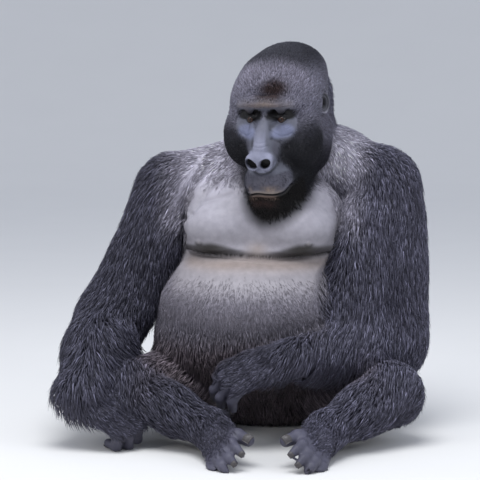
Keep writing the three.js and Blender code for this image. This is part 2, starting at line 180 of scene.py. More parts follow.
def turnMatrix(yaw, pitch, roll):  # yaw about Z, then pitch about X, then roll about Y
    z, x, y = (math.radians(v) for v in (yaw, pitch, roll))
    rz = np.array([[math.cos(z), -math.sin(z), 0], [math.sin(z), math.cos(z), 0], [0, 0, 1]])
    rx = np.array([[1, 0, 0], [0, math.cos(x), -math.sin(x)], [0, math.sin(x), math.cos(x)]])
    ry = np.array([[math.cos(y), 0, math.sin(y)], [0, 1, 0], [-math.sin(y), 0, math.cos(y)]])
    return rz @ rx @ ry


trunkFrame = {"at": vec(25, 0, 0), "turn": turnMatrix(-11, 0, 0).astype(np.float32)}
headFrame = {"at": vec(57, -89, 801), "turn": turnMatrix(-20, 15, -1).astype(np.float32)}


def into(frame, p):  # the place less the frame's own place, times its turn
    return (p - frame["at"]) @ frame["turn"]


def outOf(frame, p):  # the frame's own place plus the place times the turn the other way round
    return frame["at"] + np.asarray(p) @ frame["turn"].T


def placed(frame, shape):  # a shape of the frame, asked at places of the model
    return lambda p: shape(into(frame, p))


def bothSides(make):  # the right one and the left one
    return [make(-1), make(1)]


joints = {
    "r": {
        "shoulder": vec(-208, 62, 566),
        "elbow": vec(-364, -20, 262),
        "wrist": vec(-420, -292, 120),
        "hip": vec(-80, 60, 120),
        "knee": vec(-300, -212, 118),
        "ankle": vec(-104, -378, 60),
    },
    "l": {
        "shoulder": vec(312, 22, 586),
        "elbow": vec(322, -36, 212),
        "wrist": vec(72, -296, 208),
        "hip": vec(122, 32, 120),
        "knee": vec(322, -236, 118),
        "ankle": vec(160, -396, 60),
    },
}
sides = (("r", -1), ("l", 1))

# How far the skin lies inside the coat's outline, in millimetres.
coatDepth = {
    "back": 20, "belly": 6, "bare": 0.5, "nape": 16, "arm": 18, "hand": 3, "leg": 18, "foot": 3, "crown": 9,
}


# How far past the edge of the open front a point is: its distance from the middle less a limit that
# widens below.
def chestEdge(q):
    right = 197 + 48 * step(425, 335, q[:, 2]) + 24 * step(330, 240, q[:, 2])
    left = 154 + 32 * step(390, 470, q[:, 2]) + 14 * step(480, 560, q[:, 2]) + 50 * step(330, 250, q[:, 2])
    return np.where(q[:, 0] < 0, -q[:, 0] - right, q[:, 0] - left)


def chestFront(q):  # 1 on the front of the trunk, 0 on its flanks and back
    return step(8, 58, 0.15 * np.abs(q[:, 0]) - q[:, 1]) * step(14, -10, chestEdge(q))


def chestBare(q):  # 1 on the bare hide of the breast and the upper belly
    above = step(12, -12, chestEdge(q) + 40 * step(500, 620, q[:, 2]))
    return chestFront(q) * above * step(384, 412, q[:, 2]) * step(662, 566, q[:, 2])


# The back's depth, moved to the belly's by the share of the front, then to the hide's by the share of
# bare hide.
def trunkDepth(q):
    front = chestFront(q)
    depth = coatDepth["back"] + (coatDepth["belly"] - coatDepth["back"]) * front
    return depth + (coatDepth["bare"] - depth) * chestBare(q)


trunkShape = blend(16, [
    *bothSides(lambda s: egg([s * 98, 92, 118], [124, 134, 126])),  # buttocks
    egg([-5, 50, 84], [165, 130, 110]),  # seat
    egg([-6, 30, 190], [246, 176, 150]),  # hips
    egg([-30, -62, 240], [238, 182, 132]),  # belly, lower
    egg([-26, -76, 316], [230, 188, 120]),  # belly, upper
    egg([-18, -44, 382], [208, 160, 72]),  # waist
    egg([0, 25, 440], [216, 158, 150]),  # ribs
    *bothSides(lambda s: egg([s * 92 - 2, -96, 508], [98, 80, 64])),  # breast
    egg([0, -30, 560], [190, 112, 90]),  # breastbone and collar
    *bothSides(lambda s: egg([s * 140, 88, 430], [124, 116, 190])),  # flanks of the back
    egg([0, 112, 570], [200, 110, 134]),  # back between the shoulder blades
    egg([0, 118, 330], [190, 104, 200]),  # small of the back
])

neckShape = blend(16, [
    limb([45, 55, 640], [68, 0, 750], 128, 120),
    limb([62, 96, 660], [96, 68, 824], 114, 101),  # nape
    limb([-30, 80, 644], joints["r"]["shoulder"] + vec(16, 0, 44), 86, 84),  # right shoulder yoke
    limb([90, 85, 678], [210, 60, 656], 94, 86),  # left shoulder yoke
    limb([210, 60, 656], joints["l"]["shoulder"] + vec(-10, 0, 32), 86, 80),
])


def neckDepth(p):  # thin in front, where the hair of the collar is sparse, and deep on the nape
    return 4 + (coatDepth["nape"] - 4) * step(-70, 40, p[:, 1])


# The head, in its own frame: X to its left, -Y forwards, Z up.
eyeMiddle, eyeApart, eyeBack, eyeUp = 3, 39, -108, 2


def headShape():  # skull, cheeks and muzzle run together, less the eye sockets, plus nose and lids
    solid = blend(8, [
        egg([4, 28, 36], [110, 112, 98]),  # skull
        egg([6, 72, 64], [98, 104, 80]),  # crest pad
        egg([2, 4, 66], [98, 86, 75]),  # crown
        *bothSides(lambda s: egg([s * 60, -14, 20], [58, 88, 74])),  # temples
        limb([-60, -100, 38], [-22, -112, 48], 14, 14),  # brow, from its right end to its left
        limb([-22, -112, 48], [32, -112, 48], 14, 14),
        limb([32, -112, 48], [74, -98, 37], 14, 15),
        *bothSides(lambda s: egg([s * 74, -62, -52], [54, 62, 78])),  # cheeks
        *bothSides(lambda s: egg([s * 74, 6, -84], [46, 78, 84])),  # jaw muscles
        egg([0, -92, -66], [56, 70, 92]),  # muzzle
        egg([-2, -108, -150], [64, 68, 46]),  # upper lip
        egg([-2, -104, -194], [56, 64, 40]),  # lower lip
        egg([1, -94, -225], [62, 60, 49]),  # chin
        egg([12, -66, -200], [62, 60, 58]),  # jowl
        egg([0, -30, -150], [84, 92, 84]),  # throat
    ])
    sockets = blend(6, bothSides(lambda s: egg([s * eyeApart + eyeMiddle, -142, 10], [30, 28, 20])))
    hollow = carve(7, solid, sockets)
    return blend(4, [
        hollow,
        limb([3, -116, 8], [-2, -156, -56], 13, 18),  # bridge of the nose
        *bothSides(lambda s: egg([s * 19 - 6, -160, -89], [19, 18, 21])),  # wings of the nose
        egg([-6, -166, -78], [22, 15, 21]),  # tip of the nose
        # bulge of the lids
        *bothSides(lambda s: egg([s * eyeApart + eyeMiddle, eyeBack, eyeUp], [16, 13, 14])),
        *bothSides(lambda s: egg([s * 44 + eyeMiddle, -98, -22], [26, 20, 15])),  # pads under the eyes
    ])


def faceBare(q):  # 1 on the bare hide round the eyes, the nose and the lips, in the head's frame
    patches = [
        egg([3, -118, 37], [72, 42, 13]),
        egg([eyeApart + eyeMiddle, -112, -10], [36, 40, 36]),
        egg([-eyeApart + eyeMiddle, -112, -10], [36, 40, 36]),
        egg([-2, -150, -54], [40, 52, 62]),
        egg([2, -146, -134], [58, 60, 45]),
    ]
    return step(7, -6, blend(8, patches)(q))


def headDepth(q):  # the crown's depth times the share of hair and of the way back, plus half a millimetre
    return coatDepth["crown"] * (1 - faceBare(q)) * step(-150, -60, q[:, 1] + 0.25 * q[:, 2]) + 0.5


girths = {
    "r": {
        "cap": 95, "upper": 80, "low": 90, "fore": 90, "wrist": 64,
        "inner": vec(0, -22, 0), "lowInner": vec(36, -16, 0), "outer": vec(-8, 24, 0),
    },
    "l": {
        "cap": 97, "upper": 104, "low": 104, "fore": 102, "wrist": 52,
        "inner": vec(-42, -56, 0), "lowInner": vec(-84, -82, 20), "outer": vec(20, 22, 0),
    },
}


def armShape(side, s):  # limbs from shoulder to elbow to wrist, and one for each muscle of the upper arm
    shoulder, elbow, wrist = (joints[side][k] for k in ("shoulder", "elbow", "wrist"))
    g = girths[side]
    top, low = mix(shoulder, elbow, 0.2), mix(shoulder, elbow, 0.85)
    return blend(12, [
        limb(shoulder + vec(s * 10, 0, 16), mix(shoulder, elbow, 0.5), g["cap"], g["upper"]),
        limb(mix(shoulder, elbow, 0.5), elbow, g["upper"], g["low"]),
        limb(top + g["inner"], low + g["lowInner"], g["upper"] - 16, g["upper"] - 12),  # biceps
        limb(top + g["outer"], low + g["outer"], g["upper"] - 10, g["low"] - 14),  # triceps
        limb(elbow, mix(elbow, wrist, 0.4), g["low"], g["fore"]),
        limb(mix(elbow, wrist, 0.4), wrist, g["fore"], g["wrist"]),
    ])


# Digits: a chain of bones that curls away from the back of the hand. Each last bone is kept for its nail.
palms = {
    "r": {"along": [0.88, -0.32, -0.35], "back": [0.25, -0.62, 0.74], "curl": [20, 88, 165]},
    "l": {"along": [-0.96, -0.16, -0.20], "back": [-0.24, -0.58, 0.78], "curl": [18, 52, 90]},
}
soles = {
    "r": {"along": [0.06, -0.99, -0.10], "back": [-0.72, -0.10, 0.69]},
    "l": {"along": [-0.16, -0.98, -0.10], "back": [0.72, -0.10, 0.69]},
}
fingerLengths = [[88, 56, 38, 26], [92, 64, 44, 28], [88, 62, 42, 27], [82, 52, 34, 24]]
toeLengths = [[34, 26, 20], [36, 27, 20], [34, 25, 19], [30, 22, 17]]
fingerRadius, toeRadius = 16, 13.5
lastBones = []


# Each bone points along the digit times the cosine of its curl, less its back times the sine.
def chain(root, along, back, lengths, curl, radii):
    at = np.array(root, float)
    bones = []
    for length, angle, radius in zip(lengths, curl, radii):
        a = math.radians(angle)
        way = along * math.cos(a) - back * math.sin(a)
        end = at + length * way
        bones.append(limb(at, end, radius + 1.5, radius))
        last = {"start": at, "end": end, "back": back * math.cos(a) + along * math.sin(a), "radius": radius}
        at = end
    lastBones.append(last)
    return bones


def handShape(side, s):  # four fingers fanned from the wrist, a thumb turned away, and a cuff at the wrist
    wrist = joints[side]["wrist"].astype(float)
    palm = palms[side]
    along = unit(palm["along"])
    across = unit(np.cross(palm["back"], along)) * s  # towards the little finger
    back = np.cross(along, across) * s
    digits = []
    for i, lengths in enumerate(fingerLengths):
        spread = i - 1.5
        way = unit(along + across * spread * 0.10)
        root = wrist + across * spread * 16
        knuckle = root + way * lengths[0]
        palmBone = limb(root - back * 8, knuckle, 26, fingerRadius + 4)
        radii = [fingerRadius, fingerRadius - 1, fingerRadius - 2]
        digits.append(blend(2, [palmBone, *chain(knuckle, way, back, lengths[1:], palm["curl"], radii)]))
    thumbWay = unit(along * 0.62 - across * 0.66 - back * 0.42)
    thumbRoot = wrist - across * 26 + along * 12 - back * 6
    thumbJoint = thumbRoot + thumbWay * 42
    thumb = [limb(thumbRoot, thumbJoint, 22, 16)]
    thumb += chain(thumbJoint, unit(thumbWay + along * 0.3), back, [30, 22], [5, 25], [13.5, 12.5])
    digits.append(blend(2, thumb))
    cuff = limb(wrist - along * 20, wrist + along * 30, 44, 34)
    return nearBall(wrist + along * 60, 190, blend(3.5, [cuff, *digits]))


def legShape(side):  # limbs from hip to knee to ankle
    hip, knee, ankle = (joints[side][k] for k in ("hip", "knee", "ankle"))
    return blend(12, [
        limb(hip, mix(hip, knee, 0.5), 112, 102),
        limb(mix(hip, knee, 0.4), knee, 100, 82),
        limb(knee, mix(knee, ankle, 0.5), 78, 66),
        limb(mix(knee, ankle, 0.45), ankle, 66, 46),
    ])


def footShape(side, s):  # heel, sole, four toes fanned from the ankle and a big toe set apart
    ankle = joints[side]["ankle"].astype(float)
    sole = soles[side]
    along = unit(sole["along"])
    across = unit(np.cross(sole["back"], along)) * s  # towards the little toe
    back = np.cross(along, across) * s
    heel = ankle - along * 34 - back * 24
    ball = ankle + along * 130 - back * 22
    toes = []
    for i, lengths in enumerate(toeLengths):
        spread = i - 1.5
        way = unit(along + across * spread * 0.07)
        root = ball + across * (spread * 21) - along * abs(spread - 0.3) * 8
        bone = limb(ankle + along * 50 + across * spread * 8 - back * 12, root, 30, toeRadius + 5)
        toes.append(blend(2, [
            bone,
            *chain(root, way, back, lengths, [-8, 22, 48], [toeRadius, toeRadius - 1, toeRadius - 2]),
        ]))
    bigRoot = ankle + along * 62 - across * 28 - back * 20
    bigWay = unit(along * 0.90 - across * 0.42 - back * 0.12)
    bigToe = [limb(ankle + along * 10 - back * 8, bigRoot, 34, 24)]
    bigToe += chain(bigRoot, bigWay, back, [50, 36], [0, 22], [20, 17])
    return nearBall(ankle + along * 60, 190, blend(4, [
        limb(ankle, heel, 44, 36),
        limb(heel, ankle + along * 60 - back * 26, 36, 30),
        limb(ankle, ankle + along * 80 - back * 10, 42, 34),
        *toes,
        blend(2, bigToe),
    ]))


# The whole skin: limbs run softly into the trunk at their roots, and barely where they only touch.
skinBlend = {"limbs": 4, "roots": 17, "reach": 120}
headRoot = vec(84, 24, 826)
rootPoints = [joints[side][name] for name in ("shoulder", "hip") for side, s in sides] + [headRoot]


def limbSoftness(p):  # the limbs' softness, plus the roots' times bell curves of the distance to each root
    near = sum(np.exp(-((p - q) ** 2).sum(axis=1) / skinBlend["reach"] ** 2) for q in rootPoints)
    return skinBlend["limbs"] + skinBlend["roots"] * np.minimum(1, near)


headField = nearBall(headFrame["at"] + vec(0, 10, -20), 250, placed(headFrame, sunk(headDepth, headShape())))
wholeSkin = blend(limbSoftness, [
    blend(14, [placed(trunkFrame, sunk(trunkDepth, trunkShape)), sunk(neckDepth, neckShape)]),
    headField,
    *[
        blend(6, [sunk(coatDepth["arm"], armShape(side, s)), sunk(coatDepth["hand"], handShape(side, s))])
        for side, s in sides
    ],
    *[
        blend(6, [sunk(coatDepth["leg"], legShape(side)), sunk(coatDepth["foot"], footShape(side, s))])
        for side, s in sides
    ],
])


def skinField(p):  # the body, cut off flat by the floor
    return np.maximum(wholeSkin(p), 0.4 - p[:, 2])


farAway = 1000.0  # value of the blocks that are skipped


# Meshing: a point in each grid cell that the surface crosses, at the mean of its edges' crossings, and a
# face round each grid edge that it crosses. Only blocks near the surface are worked out.
def surfaceNet(field, low, high, cell, block=6):
    low = np.asarray(low, float)
    blocks = np.ceil((np.asarray(high, float) - low) / (cell * block)).astype(int)
    centres = np.stack(np.meshgrid(*[np.arange(n) + 0.5 for n in blocks], indexing="ij"), -1).reshape(-1, 3)
    rough = field((low + centres * cell * block).astype(np.float32)).reshape(blocks)
    kept = np.abs(rough) < cell * block * 1.15
    count = blocks * block + 1
    mask = np.zeros(count, bool)
    full = kept.repeat(block, 0).repeat(block, 1).repeat(block, 2)
    corners = [(i, j, k) for i in (0, 1) for j in (0, 1) for k in (0, 1)]
    for i, j, k in corners:
        mask[i:i + full.shape[0], j:j + full.shape[1], k:k + full.shape[2]] |= full
    values = np.full(count, farAway, np.float32)
    sign = np.sign(rough).repeat(block, 0).repeat(block, 1).repeat(block, 2)
    values[:-1, :-1, :-1] = sign * farAway
    where = np.argwhere(mask)
    values[mask] = field((low + where * cell).astype(np.float32))
    inside = values < 0
    cells = [inside[i:count[0] - 1 + i, j:count[1] - 1 + j, k:count[2] - 1 + k] for i, j, k in corners]
    some = np.any(cells, axis=0) & ~np.all(cells, axis=0)
    at = np.argwhere(some)
    total = np.zeros((len(at), 3))
    crossings = np.zeros(len(at))
    for a in corners:
        for axis in range(3):
            if a[axis]:
                continue
            b = tuple(v + (axis == m) for m, v in enumerate(a))
            va = values[tuple((at + a).T)]
            vb = values[tuple((at + b).T)]
            cross = (va < 0) != (vb < 0)
            t = np.where(cross, va / np.where(cross, va - vb, 1), 0)
            total += np.where(cross[:, None], np.array(a) + t[:, None] * (np.array(b) - a), 0)
            crossings += cross
    points = low + (at + total / crossings[:, None]) * cell
    number = np.full(np.array(count) - 1, -1)
    number[tuple(at.T)] = np.arange(len(at))
    quads = []
    for axis in range(3):
        u, v = (axis + 1) % 3, (axis + 2) % 3
        first = np.moveaxis(inside, axis, 0)
        edge = np.argwhere(np.moveaxis(first[:-1] != first[1:], 0, axis))
        edge = edge[(edge[:, u] > 0) & (edge[:, v] > 0)]
        stepU, stepV = np.eye(3, dtype=int)[u], np.eye(3, dtype=int)[v]
        quad = np.stack([number[tuple((edge - d).T)] for d in (stepU + stepV, stepV, 0 * stepU, stepU)], 1)
        low0 = inside[tuple(edge.T)]
        quads.append(np.where(low0[:, None], quad, quad[:, ::-1]))
    quads = np.concatenate(quads)
    short = np.linalg.norm(points[quads[:, 0]] - points[quads[:, 2]], axis=1)
    other = np.linalg.norm(points[quads[:, 1]] - points[quads[:, 3]], axis=1)
    quads = np.where((short > other)[:, None], np.roll(quads, -1, axis=1), quads)
    return points, np.concatenate([quads[:, [0, 1, 2]], quads[:, [0, 2, 3]]])


def slope(field, p, reach=0.5):  # the value and its direction of steepest growth, from four values
    p = p.astype(np.float32)
    base = field(p)
    ahead = [field(p + reach * np.eye(3, dtype=np.float32)[i]) for i in range(3)]
    return base, np.stack(ahead, 1) / reach - base[:, None] / reach


def settle(field, p, times=1, most=6):  # moves points along the slope by value over slope, onto the surface
    for _ in range(times):
        value, g = slope(field, p)
        move = value / np.maximum((g ** 2).sum(axis=1), 0.2)
        p = p - np.clip(move, -most, most)[:, None] * g
    return p


# Splits every edge that is longer than its place asks for, and settles the new points on the surface.
def refine(field, points, faces, wanted):
    pairs = np.sort(np.concatenate([faces[:, [0, 1]], faces[:, [1, 2]], faces[:, [2, 0]]]), axis=1)
    keys, back = np.unique(pairs[:, 0] * len(points) + pairs[:, 1], return_inverse=True)
    ends = np.stack([keys // len(points), keys % len(points)], 1)
    middle = points[ends].mean(axis=1)
    long = np.linalg.norm(points[ends[:, 0]] - points[ends[:, 1]], axis=1) > wanted(middle) * 1.35
    number = np.full(len(keys), -1)
    number[long] = len(points) + np.arange(long.sum())
    points = np.concatenate([points, settle(field, middle[long])])
    mids = number[back].reshape(3, -1).T
    cut = (mids >= 0).sum(axis=1)
    out = [faces[cut == 0]]
    f, m = faces[cut == 3], mids[cut == 3]
    out += [np.stack(s, 1) for s in (
        (f[:, 0], m[:, 0], m[:, 2]), (m[:, 0], f[:, 1], m[:, 1]),
        (m[:, 2], m[:, 1], f[:, 2]), (m[:, 0], m[:, 1], m[:, 2]),
    )]
    for turn in range(3):
        f, m = np.roll(faces, -turn, axis=1), np.roll(mids, -turn, axis=1)
        one = (cut == 1) & (m[:, 0] >= 0)
        f1, m1 = f[one], m[one]
        out += [np.stack([f1[:, 0], m1[:, 0], f1[:, 2]], 1), np.stack([m1[:, 0], f1[:, 1], f1[:, 2]], 1)]
        two = (cut == 2) & (m[:, 2] < 0)
        f2, m2 = f[two], m[two]
        out += [
            np.stack([m2[:, 0], f2[:, 1], m2[:, 1]], 1),
            np.stack([f2[:, 0], m2[:, 0], m2[:, 1]], 1),
            np.stack([f2[:, 0], m2[:, 1], f2[:, 2]], 1),
        ]
    return points, np.concatenate(out)


def normalsOf(points, faces):  # at each point, the sum of its faces' crossed sides
    a, b, c = (points[faces[:, i]] for i in range(3))
    n = np.cross(b - a, c - a)
    out = np.zeros_like(points)
    for i in range(3):
        for axis in range(3):
            out[:, axis] += np.bincount(faces[:, i], n[:, axis], len(points))
    return rows(out)


def relax(points, faces, share=0.5):  # moves points within the surface towards the mean of their neighbours
    total = np.zeros_like(points)
    count = np.zeros(len(points))
    for i in range(3):
        for j in ((i + 1) % 3, (i + 2) % 3):
            count += np.bincount(faces[:, i], minlength=len(points))
            for axis in range(3):
                total[:, axis] += np.bincount(faces[:, i], points[faces[:, j], axis], len(points))
    move = total / count[:, None] - points
    n = normalsOf(points, faces)
    return points + share * (move - (move * n).sum(axis=1)[:, None] * n)


# How long the skin's edges are, in millimetres: short on the face, shortest at the eyes, nostrils and
# mouth.
skinGrid = {"cell": 10.9, "body": 10.9, "hands": 5, "face": 2.3, "fine": 1.15, "eyes": 0.85, "chest": 4.5}
skinBox = ([-492, -640, -30], [452, 262, 1000])
handSpots = [joints[side]["wrist"] + 70 * unit(palms[side]["along"]) for side, s in sides]
footSpots = [joints[side]["ankle"] + 70 * unit(soles[side]["along"]) for side, s in sides]
eyeSpots = [vec(s * eyeApart + eyeMiddle, eyeBack, eyeUp) for s in (-1, 1)]


def mouthLine(x):  # height of the parting of the lips across the face
    ends = -12 * step(-16, -62, x) + 18 * step(40, 66, x)
    return -166 + ends - 2.5 * bump(x, 26, 16) + 1.5 * bump(x, -10, 12)


def wantedLength(p):  # the body's length, replaced by a shorter one inside each finer region in turn
    out = np.full(len(p), float(skinGrid["body"]))
    for spot in handSpots + footSpots:
        out = np.where(np.linalg.norm(p - spot, axis=1) < 130, skinGrid["hands"], out)
    t = into(trunkFrame, p)
    out = np.where((chestFront(t) > 0.5) & (t[:, 2] > 330) & (t[:, 2] < 640), skinGrid["chest"], out)
    q = into(headFrame, p)
    face = egg([0, -120, -60], [96, 80, 130])(q) < 0
    out = np.where(face, skinGrid["face"], out)
    fine = egg([-3, -168, -84], [52, 34, 44])(q) < 0
    fine |= (np.abs(q[:, 2] - mouthLine(q[:, 0])) < 9) & (np.abs(q[:, 0]) < 72) & (q[:, 1] < -90)
    out = np.where(fine, skinGrid["fine"], out)
    for spot in eyeSpots:
        out = np.where(np.linalg.norm(q - spot, axis=1) < 30, skinGrid["fine"], out)
        out = np.where(np.linalg.norm(q - spot - vec(0, -8, 0), axis=1) < 19, skinGrid["eyes"], out)
    return out


def makeSkinMesh():  # a coarse net, split four times and smoothed twice
    points, faces = surfaceNet(skinField, skinBox[0], skinBox[1], skinGrid["cell"])
    points = settle(skinField, points, 2)
    print("skin grid", len(points), "points", len(faces), "faces")
    for _ in range(4):
        points, faces = refine(skinField, points, faces, wantedLength)
    for _ in range(2):
        points = settle(skinField, relax(points, faces))
    points[:, 2] = np.maximum(points[:, 2], 0.3)
    print("skin", len(points), "points", len(faces), "faces")
    return points, faces


skinPoints, skinFaces = makeSkinMesh()

# Folds of the face, as moves of the skin's points in the head's frame.
lids = {
    "wide": 1.32, "up": 0.74, "down": 0.60, "under": 11.2, "edge": 13.0, "over": 13.7,
    "outward": 0.14, "upward": 0.17,
}
noseCreases = (([-15, 2], [-25, -52]), ([19, 2], [26, -34]), ([26, -34], [40, -46]))  # beside its bridge
nostril = {"apart": 16.8, "middle": -7, "up": -90, "wide": 15.5, "high": 11.5, "tilt": 36, "deep": 15}


# Angles across and up from the eye's line of sight, by the arctangent of each share over the forward
# share, then the distance from the eye's centre and the forward share.
def eyeAngles(q, s):
    v = q - eyeSpots[(s + 1) // 2]
    ahead = unit([s * lids["outward"], -1, lids["upward"]])
    across = unit(np.cross(ahead, [0, 0, 1]))
    r = np.sqrt((v ** 2).sum(axis=1)) + 1e-6
    front = (v @ ahead) / r
    up = np.cross(across, ahead)
    return np.arctan2((v @ across) / r, front), np.arctan2((v @ up) / r, front), r, front


# Below 0 in the almond of the open eye: height less a lid's height times 1 minus the place across
# squared.
def lidGap(u, w):
    arch = 1 - (u / lids["wide"]) ** 2
    return np.maximum(w - lids["up"] * arch, -w - lids["down"] * arch)


def openLids(q):  # moves points along their line from the eye's centre, to the distance the gap asks for
    for s in (-1, 1):
        u, w, r, front = eyeAngles(q, s)
        gap = lidGap(u, w)
        target = lids["under"] + (lids["edge"] - lids["under"]) * step(-0.02, 0.07, gap)
        target += (lids["over"] - lids["edge"]) * step(0.1, 0.4, gap)
        crease = bump(gap, 0.34, 0.06) * (w > 0) + 0.6 * bump(gap, 0.24, 0.05) * (w < 0)
        target -= crease + 0.5 * bump(gap, 0.46, 0.05) * (w < 0)
        share = step(0.85, 0.5, gap) * step(0.1, 0.35, front) * (r < 34)
        grow = (1 - share) + share * target / r
        q = eyeSpots[(s + 1) // 2] + (q - eyeSpots[(s + 1) // 2]) * grow[:, None]
    return q


def nostrilReach(q, s):  # distance from the nostril's middle over its size, 1 at its rim
    x = q[:, 0] - (s * nostril["apart"] + nostril["middle"])
    z = q[:, 2] - nostril["up"]
    tilt = math.radians(nostril["tilt"]) * s
    across, up = x * math.cos(tilt) + z * math.sin(tilt), z * math.cos(tilt) - x * math.sin(tilt)
    return np.sqrt((across / nostril["wide"]) ** 2 + (up / nostril["high"]) ** 2)


def padReach(q):  # distance from the middle of the nose pad over its size, 1 at its edge
    return np.sqrt(((q[:, 0] + 6) / 36) ** 2 + ((q[:, 2] + 86) / 30) ** 2)


def segmentGap(q, a, b):  # distance across and up the face from a line between two points
    d = np.asarray(b, float) - a
    p = q[:, [0, 2]] - np.asarray(a, float)
    t = np.clip(p @ d / (d @ d), 0, 1)
    return np.linalg.norm(p - t[:, None] * d, axis=1)


# Moves points along their normals by a sum of bell curves over each fold, and pushes the nostrils in.
def faceFolds(q, n):
    x, y, z = q.T
    front = step(-70, -110, y)
    out = np.zeros(len(q))
    gap = z - mouthLine(x)
    mouth = step(70, 60, np.abs(x + 3)) * step(-70, -100, y)
    lips = 2.0 * bump(gap, 6, 5) + 2.2 * bump(gap, -5.5, 3.4) - 5.5 * bump(gap, 0, 1.5)
    out += mouth * (lips - 2.4 * bump(gap, -14, 3.5))
    for s in (-1, 1):
        f = nostrilReach(q, s)
        out += 0.3 * bump(f, 1.25, 0.2) * step(-140, -160, y)
        out -= 1.3 * bump(segmentGap(q, [s * 36 - 3, -100], [s * 58 - 3, -160]), 0, 5) * front
        out -= 2.0 * bump(segmentGap(q, [s * 41 - 3, -78], [s * 36 - 3, -104]), 0, 2.4) * front
        r = eyeAngles(q, s)[2]
        low = step(-4, -12, z - eyeUp) * step(50, 40, r)
        out -= 1.7 * bump(r, 41, 2.0) * step(-4, -16, z) * front * (np.abs(x) < 70)
        fan = np.sin(r * 1.25 + 0.8 * np.sin(x * 0.13 + s)) * bump(r, 27, 8)
        out += 0.45 * fan * low * front
    pad = padReach(q)
    out += front * step(-66, -84, z) * (0.8 * bump(pad, 0.9, 0.09) - 2.4 * bump(pad, 1.1, 0.08))
    for start, end in noseCreases:
        out -= 1.6 * bump(segmentGap(q, start, end), 0, 3.5) * front
    out -= 0.9 * bump(z, -49 + 0.002 * x ** 2, 2.0) * step(26, 16, np.abs(x + 2)) * step(-130, -145, y)
    out -= 0.7 * bump(z, -40 + 0.003 * x ** 2, 1.5) * step(22, 12, np.abs(x + 2)) * step(-125, -140, y)
    brow = step(24, 34, z) * step(74, 60, z) * front
    out += 0.5 * brow * np.sin(z + 0.9 * np.sin(x * 0.06) + 0.4 * np.sin(x * 0.21))
    q = q + out[:, None] * n
    for s in (-1, 1):
        push = step(1.1, 0.84, nostrilReach(q, s)) * step(-150, -162, q[:, 1])
        q = q + push[:, None] * nostril["deep"] * np.array([0.0, 1.0, 0.28])
    return openLids(q)


# Folds of the breast and belly, in the trunk's frame: the line under the breast, small creases and the
# nipples.
breast = {"line": 443, "nipples": ((-139, 474), (133, 475))}


def breastLine(x):  # height of the line under the breast: its base, plus steps at the ends and a dip
    return breast["line"] + 3 * step(-120, -190, x) - 3.5 * bump(x, 60, 60) + 2 * step(120, 170, x)


def trunkFolds(q, n):  # moves points along their normals by a sum of bell curves over each fold
    x, y, z = q.T
    front = step(-40, -90, y)
    gap = z - breastLine(x)
    under = 7 * bump(np.abs(x), 105, 70)
    roll = -13 * bump(gap, 0, 4.0) + (3 + under) * bump(gap, 15, 12) - 3 * bump(gap, -12, 12)
    out = front * step(6, -14, chestEdge(q)) * roll
    middle = step(95, 30, np.abs(x - 5))
    small = bump(gap, -5, 12) * (np.abs(gap) > 3)
    out += front * middle * 0.9 * small * np.sin(gap * 1.15 + 0.7 * np.sin(x * 0.05))
    for across, up in breast["nipples"]:
        r = np.hypot(x - across, z - up)
        out += front * (2.6 * bump(r, 0, 4.0) - 0.6 * bump(r, 8, 3))
    out -= front * 8.0 * bump(segmentGap(q, [-186, 528], [-183, 470]), 0, 8)
    for i in range(3):
        fold = segmentGap(q, [170 + 9 * i, 556 - 6 * i], [196 + 8 * i, 522 - 8 * i])
        out -= front * 1.6 * bump(fold, 0, 1.8)
    return q + out[:, None] * n


# Folds of the shoulders and collar, as lines across and up the front, each with its lift and its width.
shoulderFolds = (
    ([-69, 664], [-89, 630], -6, 7), ([-89, 630], [-125, 591], -6, 7),
    ([-106, 684], [-125, 654], -5, 6), ([-125, 654], [-152, 615], -5, 6),
    ([-128, 586], [-162, 542], -6, 5), ([-162, 542], [-179, 525], -6, 5), ([-60, 592], [-128, 572], -2.5, 4),
    ([-128, 572], [-165, 540], -3, 4), ([-113, 708], [-222, 537], 4, 13), ([-92, 668], [-150, 588], 3.5, 6),
    ([250, 713], [211, 689], 3, 5), ([211, 689], [194, 654], 3.5, 5), ([194, 654], [182, 637], 3, 5),
    ([205, 664], [186, 612], -3.5, 5),
)


def foldLift(p, front):  # the sum of each fold's lift times a bell curve of the distance to its line
    out = np.zeros(len(p))
    for start, end, lift, wide in shoulderFolds:
        out += lift * bump(segmentGap(p, start, end), 0, wide)
    return out * front


def foldSkin(points, faces):  # the folds of collar, trunk and face, each only where it can reach
    n = normalsOf(points, faces)
    y, z = points[:, 1], points[:, 2]
    some = (y < 60) & (z > 480) & (z < 740) & (headField(points.astype(np.float32)) > 6)
    points[some] += foldLift(points[some], step(50, 0, points[some, 1]))[:, None] * n[some]
    t = into(trunkFrame, points)
    some = (t[:, 1] < -30) & (t[:, 2] > 380) & (t[:, 2] < 640) & (np.abs(t[:, 0]) < 230)
    moved = trunkFolds(t[some], n[some] @ trunkFrame["turn"])
    points[some] = outOf(trunkFrame, moved)
    q = into(headFrame, points)
    some = (q[:, 1] < -50) & (q[:, 2] > -215) & (q[:, 2] < 100) & (np.abs(q[:, 0]) < 110)
    some &= headField(points.astype(np.float32)) < 30
    moved = faceFolds(q[some], n[some] @ headFrame["turn"])
    points[some] = outOf(headFrame, moved)
    return points


skinPoints = foldSkin(skinPoints, skinFaces)
skinNormals = normalsOf(skinPoints, skinFaces)
print("folds made")


